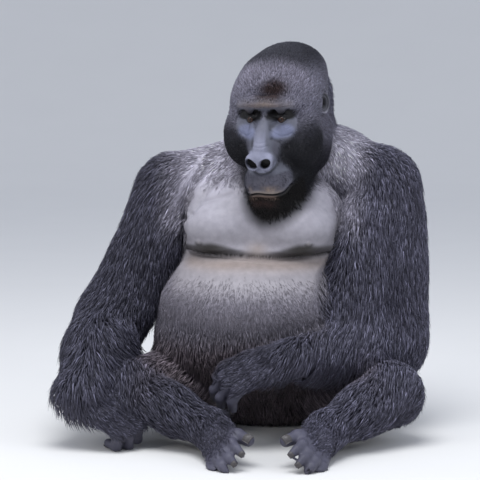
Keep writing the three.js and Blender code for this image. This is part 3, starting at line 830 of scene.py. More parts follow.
# Meshes, with a colour and a few numbers kept at each point.
def newMesh(name, points, faces):  # points in millimetres, faces all with the same number of corners
    mesh = bpy.data.meshes.new(name)
    corners = faces.shape[1]
    mesh.vertices.add(len(points))
    mesh.vertices.foreach_set("co", (np.asarray(points) * toMetres).astype(np.float32).ravel())
    mesh.loops.add(faces.size)
    mesh.loops.foreach_set("vertex_index", faces.astype(np.int32).ravel())
    mesh.polygons.add(len(faces))
    mesh.polygons.foreach_set("loop_start", (np.arange(len(faces)) * corners).astype(np.int32))
    mesh.polygons.foreach_set("use_smooth", np.ones(len(faces), bool))
    mesh.update()
    mesh.validate()
    piece = bpy.data.objects.new(name, mesh)
    bpy.context.scene.collection.objects.link(piece)
    return piece


def keepColour(piece, name, colours):  # colours is an array of red, green and blue at each point
    layer = piece.data.color_attributes.new(name, "FLOAT_COLOR", "POINT")
    full = np.concatenate([np.clip(colours, 0, 1), np.ones((len(colours), 1))], axis=1)
    layer.data.foreach_set("color", full.astype(np.float32).ravel())


def keepNumber(piece, name, numbers):  # one number for each point
    layer = piece.data.attributes.new(name, "FLOAT", "POINT")
    layer.data.foreach_set("value", np.asarray(numbers, np.float32))


def keepMap(piece, corners):  # corners is an array of two places for each face corner
    layer = piece.data.uv_layers.new(name="OFBake")
    layer.data.foreach_set("uv", corners.astype(np.float32).ravel())


def finishPiece(piece, material, nodes=()):  # its material and body, and the nodes it replaces
    piece.data.materials.append(material)
    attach(piece, "root")
    if nodes:
        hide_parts(*nodes)


# A grid of points, closed across or along where asked, as faces of four corners.
def gridFaces(across, along, loopAcross=False, loopAlong=False):
    i = np.arange(across if loopAcross else across - 1)
    j = np.arange(along if loopAlong else along - 1)
    i, j = (v.ravel() for v in np.meshgrid(i, j, indexing="ij"))
    k, m = (i + 1) % across, (j + 1) % along
    return np.stack([i * along + j, k * along + j, k * along + m, i * along + m], 1)


# Which part of the body a point is on: weights from its distances to simple limbs.
zoneNames = ["trunk", "neck", "head"]
limbParts = ("upper_arm", "forearm", "hand", "thigh", "shin", "foot")
zoneNames += [part + "_" + side for side, s in sides for part in limbParts]
zoneOf = {name: i for i, name in enumerate(zoneNames)}


def zoneShapes():  # the trunk, neck and head themselves, and a limb for each part of the arms and legs
    shapes = [placed(trunkFrame, trunkShape), neckShape, headField]
    for side, s in sides:
        j = joints[side]
        palm, sole = unit(palms[side]["along"]), unit(soles[side]["along"])
        shapes += [
            limb(j["shoulder"], j["elbow"], 92, 90),
            limb(j["elbow"], j["wrist"], 92, 60),
            limb(j["wrist"] + 24 * palm, j["wrist"] + 150 * palm, 48, 36),
            limb(j["hip"], j["knee"], 108, 84),
            limb(j["knee"], j["ankle"], 80, 52),
            limb(j["ankle"] + 6 * sole, j["ankle"] + 150 * sole, 44, 34),
        ]
    return shapes


zoneFields = zoneShapes()


def zoneWeights(p, softness=13.0):  # exp of minus distance over softness, divided by their sum
    p = p.astype(np.float32)
    d = np.stack([f(p) for f in zoneFields], 1)
    w = np.exp(-(d - d.min(axis=1)[:, None]) / softness)
    return w / w.sum(axis=1)[:, None]


# Waves that wander over the body, between -1 and 1, for uneven growth and colour.
waveWays = np.random.default_rng(7).normal(size=(3, 6, 3))


def waves(p, size, kind=0):  # the mean of six sines along seeded ways over the size, times 1.6
    ways = waveWays[kind] / size
    return np.sin(p @ ways.T + np.arange(6) * 1.7 + kind).mean(axis=1) * 1.6


# Colours, as linear red, green and blue.
tones = {
    "chest": (0.296, 0.282, 0.312),
    # painted shade under the breast and below the nipples
    "chestShade": (0.020, 0.017, 0.015),
    "tan": (0.270, 0.220, 0.195),
    # the paler skin of the upper belly, with a painted highlight on it
    "bellyTopAndHighlight": (0.290, 0.270, 0.290),
    "belly": (0.215, 0.200, 0.235),
    "face": (0.105, 0.108, 0.138),
    # near black, used as painted shade: in the eye sockets, nostrils, lid rims, the parting of the lips, the
    # groove round the nose pad and the crease under the breast
    "paintedShade": (0.004, 0.0035, 0.0045),
    # tan of the brow ridge, laid on its top also as a painted highlight
    "brow": (0.150, 0.128, 0.138),
    "pads": (0.150, 0.162, 0.245),
    # the nose's skin, made pale grey-blue: a painted highlight on its bridge and pad
    "nose": (0.225, 0.230, 0.305),
    "lip": (0.062, 0.060, 0.080),
    "lipEdgeAndHighlight": (0.210, 0.180, 0.165),
    # the pale edge of the upper lip, also used as a painted highlight on the nipples
    "lipHair": (0.300, 0.215, 0.150),
    "lipLow": (0.115, 0.080, 0.066),
    # black hair, also used as painted shade in the grooves of the collar's folds and the creases beside the
    # nose
    "blackAndShade": (0.010, 0.010, 0.013),
    "arm": (0.062, 0.060, 0.084),
    "collar": (0.370, 0.350, 0.415),
    # the palest grey skin of the collar, with a painted highlight where light falls on the shoulder tops and
    # a ridge beside the neck
    "collarPaleAndHighlight": (0.620, 0.590, 0.680),
    "temple": (0.175, 0.168, 0.215),
    "forehead": (0.235, 0.220, 0.275),
    "crown": (0.036, 0.035, 0.046),
    "brown": (0.160, 0.126, 0.134),
    "patch": (0.034, 0.018, 0.016),
    "saddle": (0.340, 0.334, 0.350),
    "chin": (0.006, 0.005, 0.005),
}
tones = {name: np.array(value) for name, value in tones.items()}


def paint(colour, coats):  # moves the colour towards each tone in turn, by its share at each point
    for tone, share in coats:
        colour = colour + (tones[tone] - colour) * share[:, None]
    return colour


# The front of the shoulders and the collar, where the hair is short, sparse and pale.
def collarShare(p, w):  # steps across, up and back multiplied, less the head's weight
    x, y, z = into(trunkFrame, p).T
    place = step(270, 205, np.abs(x - 4)) * step(478, 540, z) * step(150, 60, y) * step(800, 720, z)
    return np.clip(place * np.clip(1.4 * (1 - w[:, zoneOf["head"]]), 0, 1), 0, 1)


# Markings, and painted light and shade, that skin and coat share, from the place on the body: tones laid
# over one another by their shares.
def markingsAndPaintedLight(p, w):
    # random lightness, plus the animal's left side painted lighter as light falling on that side
    light = 1.1 + 0.20 * waves(p, 60) + 0.35 * step(60, 260, p[:, 0])
    colour = np.tile(tones["arm"], (len(p), 1)) * light[:, None]
    t = into(trunkFrame, p)
    x, y, z = t.T
    trunk = w[:, 0]
    thighs = w[:, zoneOf["thigh_r"]] + w[:, zoneOf["thigh_l"]]
    saddle = step(-10, 60, y) * step(70, 170, z) * step(570, 440, z) * np.clip(trunk + 0.3 * thighs, 0, 1)
    front = chestFront(t) * np.clip(1.3 * trunk, 0, 1)
    band = bump(z, 424, 17) * step(200, 150, np.abs(x)) * (0.8 + 0.2 * waves(p, 30))
    bare = chestBare(t) * np.clip(trunk * 1.3, 0, 1)
    rise = z - breastLine(x)
    outer = bump(np.abs(x - 2), 112, 58)
    # under: the breast's underside, where painted shade falls below its overhang
    under = bare * step(-3, 2, rise) * step(13 + 25 * outer, 5 + 17 * outer, rise + 4 * waves(p, 30, 1))
    coats = [
        ("saddle", saddle * (0.8 + 0.2 * waves(p, 40, 1))),
        ("brown", front * step(300, 220, z) * 0.7),
        ("belly", front * step(225, 300, z) * step(262, 225, np.abs(x))),
        # the upper belly paler, partly its own colour and partly painted highlight
        ("bellyTopAndHighlight", front * step(320, 392, z) * step(225, 185, np.abs(x))),
        ("tan", front * band),
        ("chest", bare * step(436, 450, z)),
        # painted shade under the breast, in the crease and just below it
        ("chestShade", under * (0.62 + 0.36 * outer)),
        ("paintedShade", bare * bump(rise, 0, 2.6) * 0.9),
        ("chestShade", bare * bump(rise, -7, 5) * 0.45 * outer),
        ("tan", bare * bump(np.hypot(x - 6, (z - 458) * 1.5), 0, 26) * 0.7),
    ]
    for across, up in breast["nipples"]:
        r = np.hypot(x - across, z - up)
        # on each nipple a painted highlight, and painted shade just below it
        coats.append(("lipEdgeAndHighlight", bare * bump(r, 0, 4) * 0.5))
        coats.append(("chestShade", bare * bump(r, 8, 3.5) * step(3, -3, z - up) * 0.6))
    collar = collarShare(p, w) * (1 - 0.8 * bare)
    # lift: the collar painted lighter on the ridges of its folds and darker in their grooves, as painted
    # highlight and painted shade
    lift = foldLift(p, 1)
    lap = np.clip(thighs, 0, 1) * step(60, -120, p[:, 1]) * step(330, 200, np.abs(p[:, 0]))
    coats += [
        ("collar", collar * (0.74 + 0.18 * waves(p, 34, 1) + 0.03 * lift)),
        ("blackAndShade", collar * np.clip(-0.13 * lift, 0, 0.6)),
        # pale skin with a painted highlight on the tops of the shoulders and a ridge of the collar
        ("collarPaleAndHighlight", collar * bump(np.hypot(x - 172, z - 672), 0, 62) * 0.8),
        ("collarPaleAndHighlight", collar * bump(np.hypot(x + 122, z - 652), 0, 62) * 0.6),
        ("collarPaleAndHighlight", collar * bump(segmentGap(p, [-60, 640], [-120, 560]), 0, 26) * 0.35),
        ("brown", lap * (0.8 + 0.2 * waves(p, 50, 2))),
    ]
    return paint(colour, coats + headMarkingsAndPaintedLight(p, w))


def headMarkingsAndPaintedLight(p, w):  # the same for the head, in its own frame
    q = into(headFrame, p)
    x, y, z = q.T
    head = np.clip(w[:, zoneOf["head"]] * 1.6 - 0.15, 0, 1)
    rear = step(-92, -16, y) * step(44, 88, np.abs(x))
    flank = step(-30 - 90 * rear, 10 - 60 * rear, z) * step(120, 60, z)
    brow = step(-10, -55, y) * bump(z, 92, 34)
    low = step(-14, -64, z) * (1 - 0.75 * step(-62, 0, y) * step(-190, -120, z))
    low = low * (1 - 0.8 * rear * step(-120, -60, z))
    spread = np.hypot((x - 16) / (44 - 14 * step(56, 84, z)), (z - 62) / 24)
    face = faceBare(q.astype(np.float32)) * head
    arch = step(-4, 5, z - 31 - 4 * bump(np.abs(x - 3), 34, 20)) * (1 - 0.35 * bump(x, 2, 9))
    dark = step(1.15, 0.8, np.hypot((np.abs(x - eyeMiddle) - 40) / 38, (z - 15) / 15))
    pads = step(1.25, 0.6, np.hypot((np.abs(x - eyeMiddle) - 46) / 28, (z + 23) / 17))
    pad = padReach(q)
    bridge = step(19 + 9 * step(-40, -66, z), 12, np.abs(x + 3)) * step(4, -44, z)
    bridge = bridge * step(-112, -100, z) * 0.8
    nose = np.maximum(bridge, step(1.06, 0.95, pad))
    side = step(24, 34, np.abs(x + 3)) * step(-30, -50, z) * step(-110, -84, z)
    gap = z - mouthLine(x)
    strands = np.clip(0.55 + 0.45 * np.sin(x * 1.9 + 0.4 * np.sin(z * 0.3)), 0, 1)
    tan = bump(gap, 14, 8) * (bump(x, 16, 16) + 0.7 * bump(x, -38, 8))
    below = head * (y < -80) * step(2, -3, gap) * step(84, 70, np.abs(x))
    coats = [
        ("crown", head),
        ("temple", head * flank * (0.85 + 0.2 * waves(p, 25, 1))),
        ("forehead", head * brow * (0.85 + 0.2 * waves(p, 18, 1))),
        ("blackAndShade", head * low * (0.9 + 0.1 * waves(p, 20, 2))),
        ("patch", head * step(1.2, 0.35, spread) * step(-20, -60, y) * 0.95),
        ("face", face),
        # the brow ridge's tan on its upper part, which also stands in for the highlight where light falls on
        # its top
        ("brow", face * arch * (0.75 + 0.25 * waves(p, 12, 1))),
        ("lipHair", face * bump(x, 6, 22) * bump(z, 44, 6) * 0.45),
        # painted shade in the eye sockets under the brow
        ("paintedShade", np.clip(face * 1.6, 0, 1) * dark),
        # painted shade in the creases beside the nose
        *[("blackAndShade", face * bump(segmentGap(q, start, end), 0, 4) * 0.62) for start, end in noseCreases],
        ("pads", face * pads * step(0, -10, z)),
        # the nose's bridge and pad, painted lighter as a highlight
        ("nose", face * nose * step(-112, -140, y)),
        # painted shade in the groove round the nose pad
        ("paintedShade", face * bump(pad, 1.12, 0.08) * step(-70, -90, z) * 0.6),
        ("lip", face * side * step(1.04, 1.16, pad) * 0.8),
        ("lip", face * step(-116, -126, z) * step(-2, 2, gap)),
        ("lipEdgeAndHighlight", face * bump(gap, 5, 3.5) * step(60, 30, np.abs(x + 4))),
        ("lipHair", face * tan * strands * 0.75),
        ("chin", below),
        ("lipLow", below * bump(gap, -6, 4) * step(44, 26, np.abs(x + 8))),
        ("patch", below * bump(gap, -22, 9) * step(44, 15, np.abs(x + 8)) * 0.9),
        # painted shade in the parting of the lips
        ("paintedShade", head * bump(gap, 0, 2.4) * (np.abs(x) < 72) * (y < -80)),
    ]
    for s in (-1, 1):
        u, v, r, ahead = eyeAngles(q, s)
        lid, near = lidGap(u, v), (r < 18) * (ahead > 0.1)
        coats += [
            # painted shade in the nostrils and along the rims of the lids
            ("paintedShade", head * step(1.0, 0.88, nostrilReach(q, s)) * (y < -130)),
            ("paintedShade", head * np.clip(bump(lid, 0.0, 0.09) * near, 0, 1) * 0.75),
            ("nose", head * bump(lid, 0.2, 0.07) * near * (v < 0) * 0.5),
        ]
    return coats


# Materials. Colours come from the meshes, and grain from noise in object coordinates.
def newMaterial(name):  # a plain material with its nodes, links and shader
    material = bpy.data.materials.new(name)
    material.use_nodes = True
    nodes = material.node_tree.nodes
    return material, nodes, material.node_tree.links, nodes["Principled BSDF"]


def addNode(nodes, kind, **values):  # a node whose sockets, or else settings, get the values
    node = nodes.new(kind)
    for key, value in values.items():
        if key in node.inputs:
            node.inputs[key].default_value = value
        else:
            setattr(node, key, value)
    return node


hideLook = {"roughness": 0.46, "specular": 0.3, "grain": 900, "creases": 260, "depth": 0.0006}


# The mesh's colour times soft spots; its height is fine noise plus three times the distance to cell
# edges.
def hideMaterial(look):
    material, nodes, links, shader = newMaterial("hide")
    tone = addNode(nodes, "ShaderNodeVertexColor", layer_name="tint")
    place = addNode(nodes, "ShaderNodeTexCoord")
    grain = addNode(nodes, "ShaderNodeTexNoise", Scale=look["grain"], Detail=4, Roughness=0.6)
    cells = addNode(nodes, "ShaderNodeTexVoronoi", Scale=look["creases"], feature="DISTANCE_TO_EDGE")
    links.new(place.outputs["Object"], grain.inputs["Vector"])
    links.new(place.outputs["Object"], cells.inputs["Vector"])
    spots = addNode(nodes, "ShaderNodeTexNoise", Scale=60, Detail=5)
    links.new(place.outputs["Object"], spots.inputs["Vector"])
    shade = addNode(nodes, "ShaderNodeMapRange")
    shade.inputs["From Min"].default_value, shade.inputs["From Max"].default_value = 0.3, 0.7
    shade.inputs["To Min"].default_value, shade.inputs["To Max"].default_value = 0.9, 1.1
    links.new(spots.outputs["Fac"], shade.inputs["Value"])
    colour = addNode(nodes, "ShaderNodeMix", data_type="RGBA", blend_type="MULTIPLY")
    colour.inputs["Factor"].default_value = 1
    links.new(tone.outputs["Color"], colour.inputs[6])
    links.new(shade.outputs["Result"], colour.inputs[7])
    links.new(colour.outputs[2], shader.inputs["Base Color"])
    deep = addNode(nodes, "ShaderNodeMath", operation="MINIMUM")
    deep.inputs[1].default_value = 0.12
    links.new(cells.outputs["Distance"], deep.inputs[0])
    both = addNode(nodes, "ShaderNodeMath", operation="MULTIPLY_ADD")
    both.inputs[1].default_value = 3.0
    links.new(deep.outputs["Value"], both.inputs[0])
    links.new(grain.outputs["Fac"], both.inputs[2])
    height = addNode(nodes, "ShaderNodeBump", Strength=0.55, Distance=look["depth"])
    links.new(both.outputs["Value"], height.inputs["Height"])
    links.new(height.outputs["Normal"], shader.inputs["Normal"])
    shader.inputs["Roughness"].default_value = look["roughness"]
    shader.inputs["Specular IOR Level"].default_value = look["specular"]
    return material


coatLook = {"roughness": 0.50, "specular": 0.24}


def coatMaterial(look):  # the mesh's colour, with a low sheen
    material, nodes, links, shader = newMaterial("coat")
    tone = addNode(nodes, "ShaderNodeVertexColor", layer_name="tint")
    links.new(tone.outputs["Color"], shader.inputs["Base Color"])
    shader.inputs["Roughness"].default_value = look["roughness"]
    shader.inputs["Specular IOR Level"].default_value = look["specular"]
    return material


eyeLook = {"roughness": 0.2, "specular": 0.2, "wet": 0.55, "iris": 0.185, "pupil": 0.075}


# Colours run with the angle from the line of sight: pupil, iris, dark ring, brown white.
def eyeMaterial(look):
    material, nodes, links, shader = newMaterial("eye")
    angle = addNode(nodes, "ShaderNodeAttribute", attribute_name="sight")
    ramp = addNode(nodes, "ShaderNodeValToRGB")
    stops = [
        (0.0, (0.002, 0.002, 0.002)), (look["pupil"], (0.003, 0.002, 0.002)),
        (look["pupil"] + 0.015, (0.040, 0.016, 0.009)), (look["iris"] - 0.03, (0.032, 0.012, 0.007)),
        (look["iris"], (0.004, 0.002, 0.002)), (look["iris"] + 0.05, (0.012, 0.008, 0.007)),
        (1.0, (0.014, 0.01, 0.009)),
    ]
    for place, colour in stops[1:-1]:
        ramp.color_ramp.elements.new(place)
    for element, (place, colour) in zip(ramp.color_ramp.elements, stops):
        element.position = place
        element.color = (*colour, 1)
    links.new(angle.outputs["Fac"], ramp.inputs["Fac"])
    links.new(ramp.outputs["Color"], shader.inputs["Base Color"])
    shader.inputs["Roughness"].default_value = look["roughness"]
    shader.inputs["Specular IOR Level"].default_value = look["specular"]
    shader.inputs["Coat Weight"].default_value = look["wet"]
    shader.inputs["Coat Roughness"].default_value = 0.03
    shader.inputs["Coat IOR"].default_value = 1.3
    return material


nailLook = {"roughness": 0.45, "colour": (0.016, 0.014, 0.016, 1), "pale": (0.085, 0.075, 0.075, 1)}


def nailMaterial(look):  # dark to pale by fine noise, which also lifts the surface a little
    material, nodes, links, shader = newMaterial("nail")
    place = addNode(nodes, "ShaderNodeTexCoord")
    grain = addNode(nodes, "ShaderNodeTexNoise", Scale=500, Detail=3)
    links.new(place.outputs["Object"], grain.inputs["Vector"])
    ramp = addNode(nodes, "ShaderNodeValToRGB")
    ramp.color_ramp.elements[0].color = look["colour"]
    ramp.color_ramp.elements[1].color = look["pale"]
    links.new(grain.outputs["Fac"], ramp.inputs["Fac"])
    links.new(ramp.outputs["Color"], shader.inputs["Base Color"])
    height = addNode(nodes, "ShaderNodeBump", Strength=0.3, Distance=0.0003)
    links.new(grain.outputs["Fac"], height.inputs["Height"])
    links.new(height.outputs["Normal"], shader.inputs["Normal"])
    shader.inputs["Roughness"].default_value = look["roughness"]
    return material


hide, coat = hideMaterial(hideLook), coatMaterial(coatLook)
eyeGloss, nail = eyeMaterial(eyeLook), nailMaterial(nailLook)
print("materials made")

# The skin.
fleshNodes = ["trunk", "neck", "head"]
fleshNodes += [part + "_" + side for side, s in sides
               for part in ("upper_arm", "forearm", "hand", "thigh", "lower_leg", "foot")]
skinWeights = zoneWeights(skinPoints)
skinTint = markingsAndPaintedLight(skinPoints, skinWeights)
skin = newMesh("skin", skinPoints, skinFaces)
keepColour(skin, "tint", skinTint)
finishPiece(skin, hide, fleshNodes)
print("skin made")


# An eyeball: a ball of rings round the line of sight, with the cornea as a low bell curve on its front.
eyeball = {"rings": 40, "around": 56, "cornea": 0.9, "corneaWide": 0.42, "sight": (0.05, -1.0, 0.20)}


def makeEye(side):  # radius plus the cornea's bell curve, times the cosine and sine of each ring's angle
    low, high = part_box("eye_" + side)
    centre = np.array((low + high) / 2) / toMetres
    radius = (high[2] - low[2]) / 2 / toMetres
    sight = headFrame["turn"] @ unit(eyeball["sight"])
    across = unit(np.cross(sight, [0, 0, 1]))
    up = np.cross(across, sight)
    ring = np.linspace(0, math.pi, eyeball["rings"])
    turn = np.arange(eyeball["around"]) * 2 * math.pi / eyeball["around"]
    a, b = np.meshgrid(ring, turn, indexing="ij")
    r = radius + eyeball["cornea"] * bump(a, 0, eyeball["corneaWide"])
    points = centre + (r * np.cos(a))[..., None] * sight
    points += (r * np.sin(a) * np.cos(b))[..., None] * across + (r * np.sin(a) * np.sin(b))[..., None] * up
    faces = gridFaces(len(ring), len(turn), loopAlong=True)
    piece = newMesh("eye_ball_" + side, points.reshape(-1, 3), faces)
    keepNumber(piece, "sight", (a / math.pi).ravel())
    finishPiece(piece, eyeGloss, ["eye_" + side])


for side, s in sides:
    makeEye(side)


# An ear: rings from the hollow out to the rim, over it and down the back of the ear.
ear = {
    "centre": vec(111, 0, 8), "tall": 28, "wide": 17, "around": 72, "rings": 40,
    "lean": 34, "colour": (0.100, 0.098, 0.118),
}


# Each ring is an oval a share of the way to the rim, and its height is a sum of bell curves and steps.
def makeEar(side, s, look):
    v = np.linspace(0, 2, look["rings"])
    u = np.arange(look["around"]) * 2 * math.pi / look["around"]
    u, v = np.meshgrid(u, v, indexing="ij")
    out = np.where(v < 1, v, 1 - 0.9 * (v - 1))  # share of the way from the middle to the rim
    outline = 1 + 0.10 * np.cos(u - 0.6) + 0.05 * np.cos(2 * u)
    rim = 3.2 * bump(v, 0.95, 0.10)
    inner = 2.6 * bump(v, 0.60, 0.13) * (0.4 + 0.6 * step(-0.4, 0.8, np.cos(u - 0.5)))
    hollow = -6.5 * bump(v, 0.12, 0.30) - 1.2 * bump(v, 0.78, 0.08)
    back = -3.0 * step(1.0, 1.14, v) - 9.0 * step(1.1, 2.0, v)
    lobe = 2.5 * step(-0.5, -1.0, np.sin(u)) * bump(v, 0.9, 0.3)
    height = rim + inner + hollow + back + lobe
    across = look["wide"] * out * outline * np.cos(u)
    up = look["tall"] * out * outline * np.sin(u)
    lean = math.radians(look["lean"])
    x = s * (across * math.sin(lean) + height * math.cos(lean))
    y = across * math.cos(lean) - height * math.sin(lean)
    local = np.stack([x, y, up], -1).reshape(-1, 3) + look["centre"] * np.array([s, 1, 1])
    faces = gridFaces(look["around"], look["rings"], loopAcross=True)
    points = outOf(headFrame, local)
    piece = newMesh("ear_skin_" + side, points, faces if s < 0 else faces[:, ::-1])
    # the ear's colour painted lighter on the rim and lobe as a highlight, and darker in the hollow as shade
    shade = np.clip(0.75 + 0.13 * (rim + lobe) + 0.05 * inner + 0.11 * hollow, 0.12, 1.5).ravel()
    keepColour(piece, "tint", np.array(look["colour"]) * shade[:, None] ** 2)
    finishPiece(piece, hide, ["ear_" + side])


for side, s in sides:
    makeEar(side, s, ear)
print("eyes and ears made")

# Nails: a curved patch on the back of each last bone, higher in the middle and rounded at its free edge.
nails = {"across": 9, "along": 10, "thick": 0.8}


def makeNails(bones):  # across by sine and over by cosine of an angle, times the bone's radius less a little
    points, faces = [], []
    for bone in bones:
        way = unit(bone["end"] - bone["start"])
        back = unit(bone["back"])
        side = np.cross(way, back)
        r = bone["radius"] - 2.3
        a, t = np.linspace(-0.8, 0.8, nails["across"]), np.linspace(0, 1, nails["along"])
        a, t = np.meshgrid(a, t, indexing="ij")
        reach = (t * 1.2 - 0.3) * r * (1 - 0.14 * a ** 2)
        bow = r * (1.05 + 0.03 * t) * np.cos(a) * (1 - 0.5 * t ** 3)
        top = bone["end"] + reach[..., None] * way + (r * 1.05 * np.sin(a))[..., None] * side
        top = top + bow[..., None] * back
        under = top - nails["thick"] * 1.6 * back
        if min(top[..., 2].min(), under[..., 2].min()) < 1:  # pressed on the ground, out of sight
            continue
        rim = gridFaces(*a.shape)
        count = a.size
        start = sum(len(p) for p in points)
        edge = np.concatenate([
            np.arange(0, nails["along"]), np.arange(2, nails["across"] + 1) * nails["along"] - 1,
            np.arange(count - 2, count - nails["along"] - 1, -1),
            np.arange(nails["across"] - 2, 0, -1) * nails["along"],
        ])
        wall = np.stack([edge, np.roll(edge, -1), np.roll(edge, -1) + count, edge + count], 1)
        points += [top.reshape(-1, 3), under.reshape(-1, 3)]
        faces += [start + rim, start + count + rim[:, ::-1], start + wall[:, ::-1]]
    piece = newMesh("nails", np.concatenate(points), np.concatenate(faces))
    finishPiece(piece, nail)


makeNails(lastBones)
print("nails made")

# The coat. In each zone: a tuft's length, how high the coat stands over the skin and half a tuft's width,
# all in millimetres, and how many tufts grow on a square centimetre.
coatZones = {
    "trunk": (54, 17, 1.6, 4.6),
    "neck": (36, 15, 1.3, 7.0),
    "head": (17, 6.0, 0.68, 21.0),
    "upper_arm": (58, 16, 1.45, 6.2),
    "forearm": (64, 15, 1.45, 6.2),
    "hand": (22, 3.5, 0.9, 9.0),
    "thigh": (50, 14, 1.7, 4.4),
    "shin": (44, 13, 1.6, 4.6),
    "foot": (16, 3.0, 0.9, 8.0),
}
coatGrowth = {
    "uneven": 0.28, "wander": 0.32, "stray": 0.17, "locks": 0.36, "sag": 0.12, "seed": 11,
    "rootDeep": 1.2, "lowest": 1.5, "block": 24,
}
coatShade = {"contrast": 0.42, "calm": 0.14, "along": [0.55, 0.55, 0.55, 1.0, 1.0, 1.0, 1.25]}


# Length, rise, half width and tufts to a square centimetre: the zones' values by weight, then moved by
# the share of belly, collar, bare hide, cheek, chin and face.
def coatAt(p, w):
    table = np.array([coatZones[name.removesuffix("_r").removesuffix("_l")] for name in zoneNames])
    length, rise, width, dense = (w @ table).T
    t = into(trunkFrame, p)
    front = chestFront(t) * w[:, 0]
    belly = front * step(225, 290, t[:, 2])
    length, rise = length + (12 - length) * belly, rise + (2.6 - rise) * belly
    width, dense = width + (0.55 - width) * belly, dense + (11 * step(408, 320, t[:, 2]) - dense) * belly
    collar = collarShare(p, w)
    length, rise = length + (22 - length) * collar, rise + (4 - rise) * collar
    width, dense = width + (0.85 - width) * collar, dense + (7 - dense) * collar
    bare = chestBare(t) * np.clip(w[:, 0] * 1.3 + w[:, 1] * 0.7, 0, 1)
    length, rise, dense = length * (1 - 0.5 * bare), rise * (1 - 0.7 * bare), dense * step(0.8, 0.1, bare)
    q = into(headFrame, p).astype(np.float32)
    head = w[:, zoneOf["head"]]
    low = head * step(0, -50, q[:, 2]) * step(20, -30, q[:, 1])
    length, rise = length * (1 - 0.38 * low), rise * (1 - 0.5 * low)
    chin = head * step(-170, -200, q[:, 2])
    length = length * (1 - 0.25 * chin)
    for ends in ear["centre"] * np.array([[-1, 1, 1], [1, 1, 1]]):
        dense = dense * step(20, 34, np.linalg.norm(q - ends, axis=1))
    face = faceBare(q) * np.clip(head * 1.5, 0, 1)
    near = head * step(40, 5, egg([0, -110, -50], [80, 60, 110])(q)) * (1 - face)
    length, rise = length * (1 - 0.45 * near), rise * (1 - 0.55 * near)
    lips = face * step(-116, -126, q[:, 2])
    brow = face * step(33, 42, q[:, 2])
    thin = face * (0.993 - 0.45 * lips - 0.55 * brow)
    length, rise, dense = length * (1 - 0.62 * face), rise * (1 - 0.85 * face), dense * (1 - thin)
    dense = dense * ~((np.abs(q[:, 2] - mouthLine(q[:, 0])) < 5) & (face > 0.3))
    for s in (-1, 1):
        dense = dense * (np.linalg.norm(q - eyeSpots[(s + 1) // 2], axis=1) > 24)
        dense = dense * ((nostrilReach(q, s) > 1.4) | (q[:, 1] > -120))
    palm = handInside(p)
    dense = dense * (1 - palm) * (p[:, 2] > 4)
    return length * (1 + coatGrowth["uneven"] * 0.5 * waves(p, 45, 2)), rise, width, dense


def handInside(p):  # 1 on palms and soles, by a step of how far a point lies towards the back of the hand
    out = np.zeros(len(p))
    for spot, ways in ((handSpots, palms), (footSpots, soles)):
        for place, (side, s) in zip(spot, sides):
            away = (p - place) @ unit(ways[side]["back"])
            near = np.linalg.norm(p - place, axis=1) < 150
            out = np.maximum(out, near * step(2, -12, away))
    return out


# Which way the hair points, each part's way times its weight: from the face over the crown, down the neck
# and trunk, and along each limb.
def lieOfCoat(p, w):
    q = into(headFrame, p)
    x, y, z = q.T
    over = np.stack([x * 0.0045, np.ones(len(p)), 0.55 - 1.6 * step(-40, 100, y)], 1)
    cheek = np.stack([np.sign(x) * 0.25, 0.55 + 0 * x, -0.85 + 0 * x], 1)
    chin = np.stack([0.002 * x, 0.35 + 0 * x, -1 + 0 * x], 1)
    low = step(14, -26, z)[:, None]
    headWay = over * (1 - low) + low * (cheek + (chin - cheek) * step(60, 20, np.abs(x))[:, None])
    ways = np.zeros((len(zoneNames), 3))
    down = np.array([0, 0, -1.0])
    for side, s in sides:
        j = joints[side]
        ways[zoneOf["upper_arm_" + side]] = unit(j["elbow"] - j["shoulder"]) + 0.25 * down
        back = {"r": 0.12, "l": -0.7}[side]
        ways[zoneOf["forearm_" + side]] = back * unit(j["elbow"] - j["wrist"]) + down
        ways[zoneOf["hand_" + side]] = unit(palms[side]["along"])
        ways[zoneOf["thigh_" + side]] = unit(j["knee"] - j["hip"]) + 0.4 * down
        ways[zoneOf["shin_" + side]] = unit(j["ankle"] - j["knee"]) + 0.4 * down
        ways[zoneOf["foot_" + side]] = unit(soles[side]["along"])
    way = w @ ways
    t = into(trunkFrame, p)
    trunkWay = np.stack([0.0016 * t[:, 0], 0 * t[:, 0], -1 + 0 * t[:, 0]], 1)
    side = np.clip((p[:, 0] - 55) / 160, -1, 1)
    neckWay = np.stack([0.9 * side, 0.25 + 0 * side, -0.9 + 0 * side], 1)
    headWay = headWay @ headFrame["turn"].T
    way += w[:, [0]] * trunkWay + w[:, [1]] * neckWay + w[:, [zoneOf["head"]]] * headWay
    return way


def sowTufts(rng):  # roots at equal steps along the summed area times density, with a small jitter
    a, b, c = (skinPoints[skinFaces[:, i]] for i in range(3))
    middle = (a + b + c) / 3
    order = np.lexsort(tuple(np.floor(middle / coatGrowth["block"]).astype(int).T))
    w = zoneWeights(middle)
    dense = coatAt(middle, w)[3]
    area = np.linalg.norm(np.cross(b - a, c - a), axis=1) / 2 / 100
    total = np.cumsum((area * dense)[order])
    count = int(total[-1])
    places = np.arange(count) + rng.random(count)
    face = order[np.minimum(np.searchsorted(total, places), len(order) - 1)]
    u, v = rng.random((2, count))
    u, v = np.where(u + v > 1, 1 - u, u), np.where(u + v > 1, 1 - v, v)
    share = np.stack([1 - u - v, u, v], 1)[:, :, None]
    root = (skinPoints[skinFaces[face]] * share).sum(axis=1)
    normal = rows((skinNormals[skinFaces[face]] * share).sum(axis=1))
    return root, normal


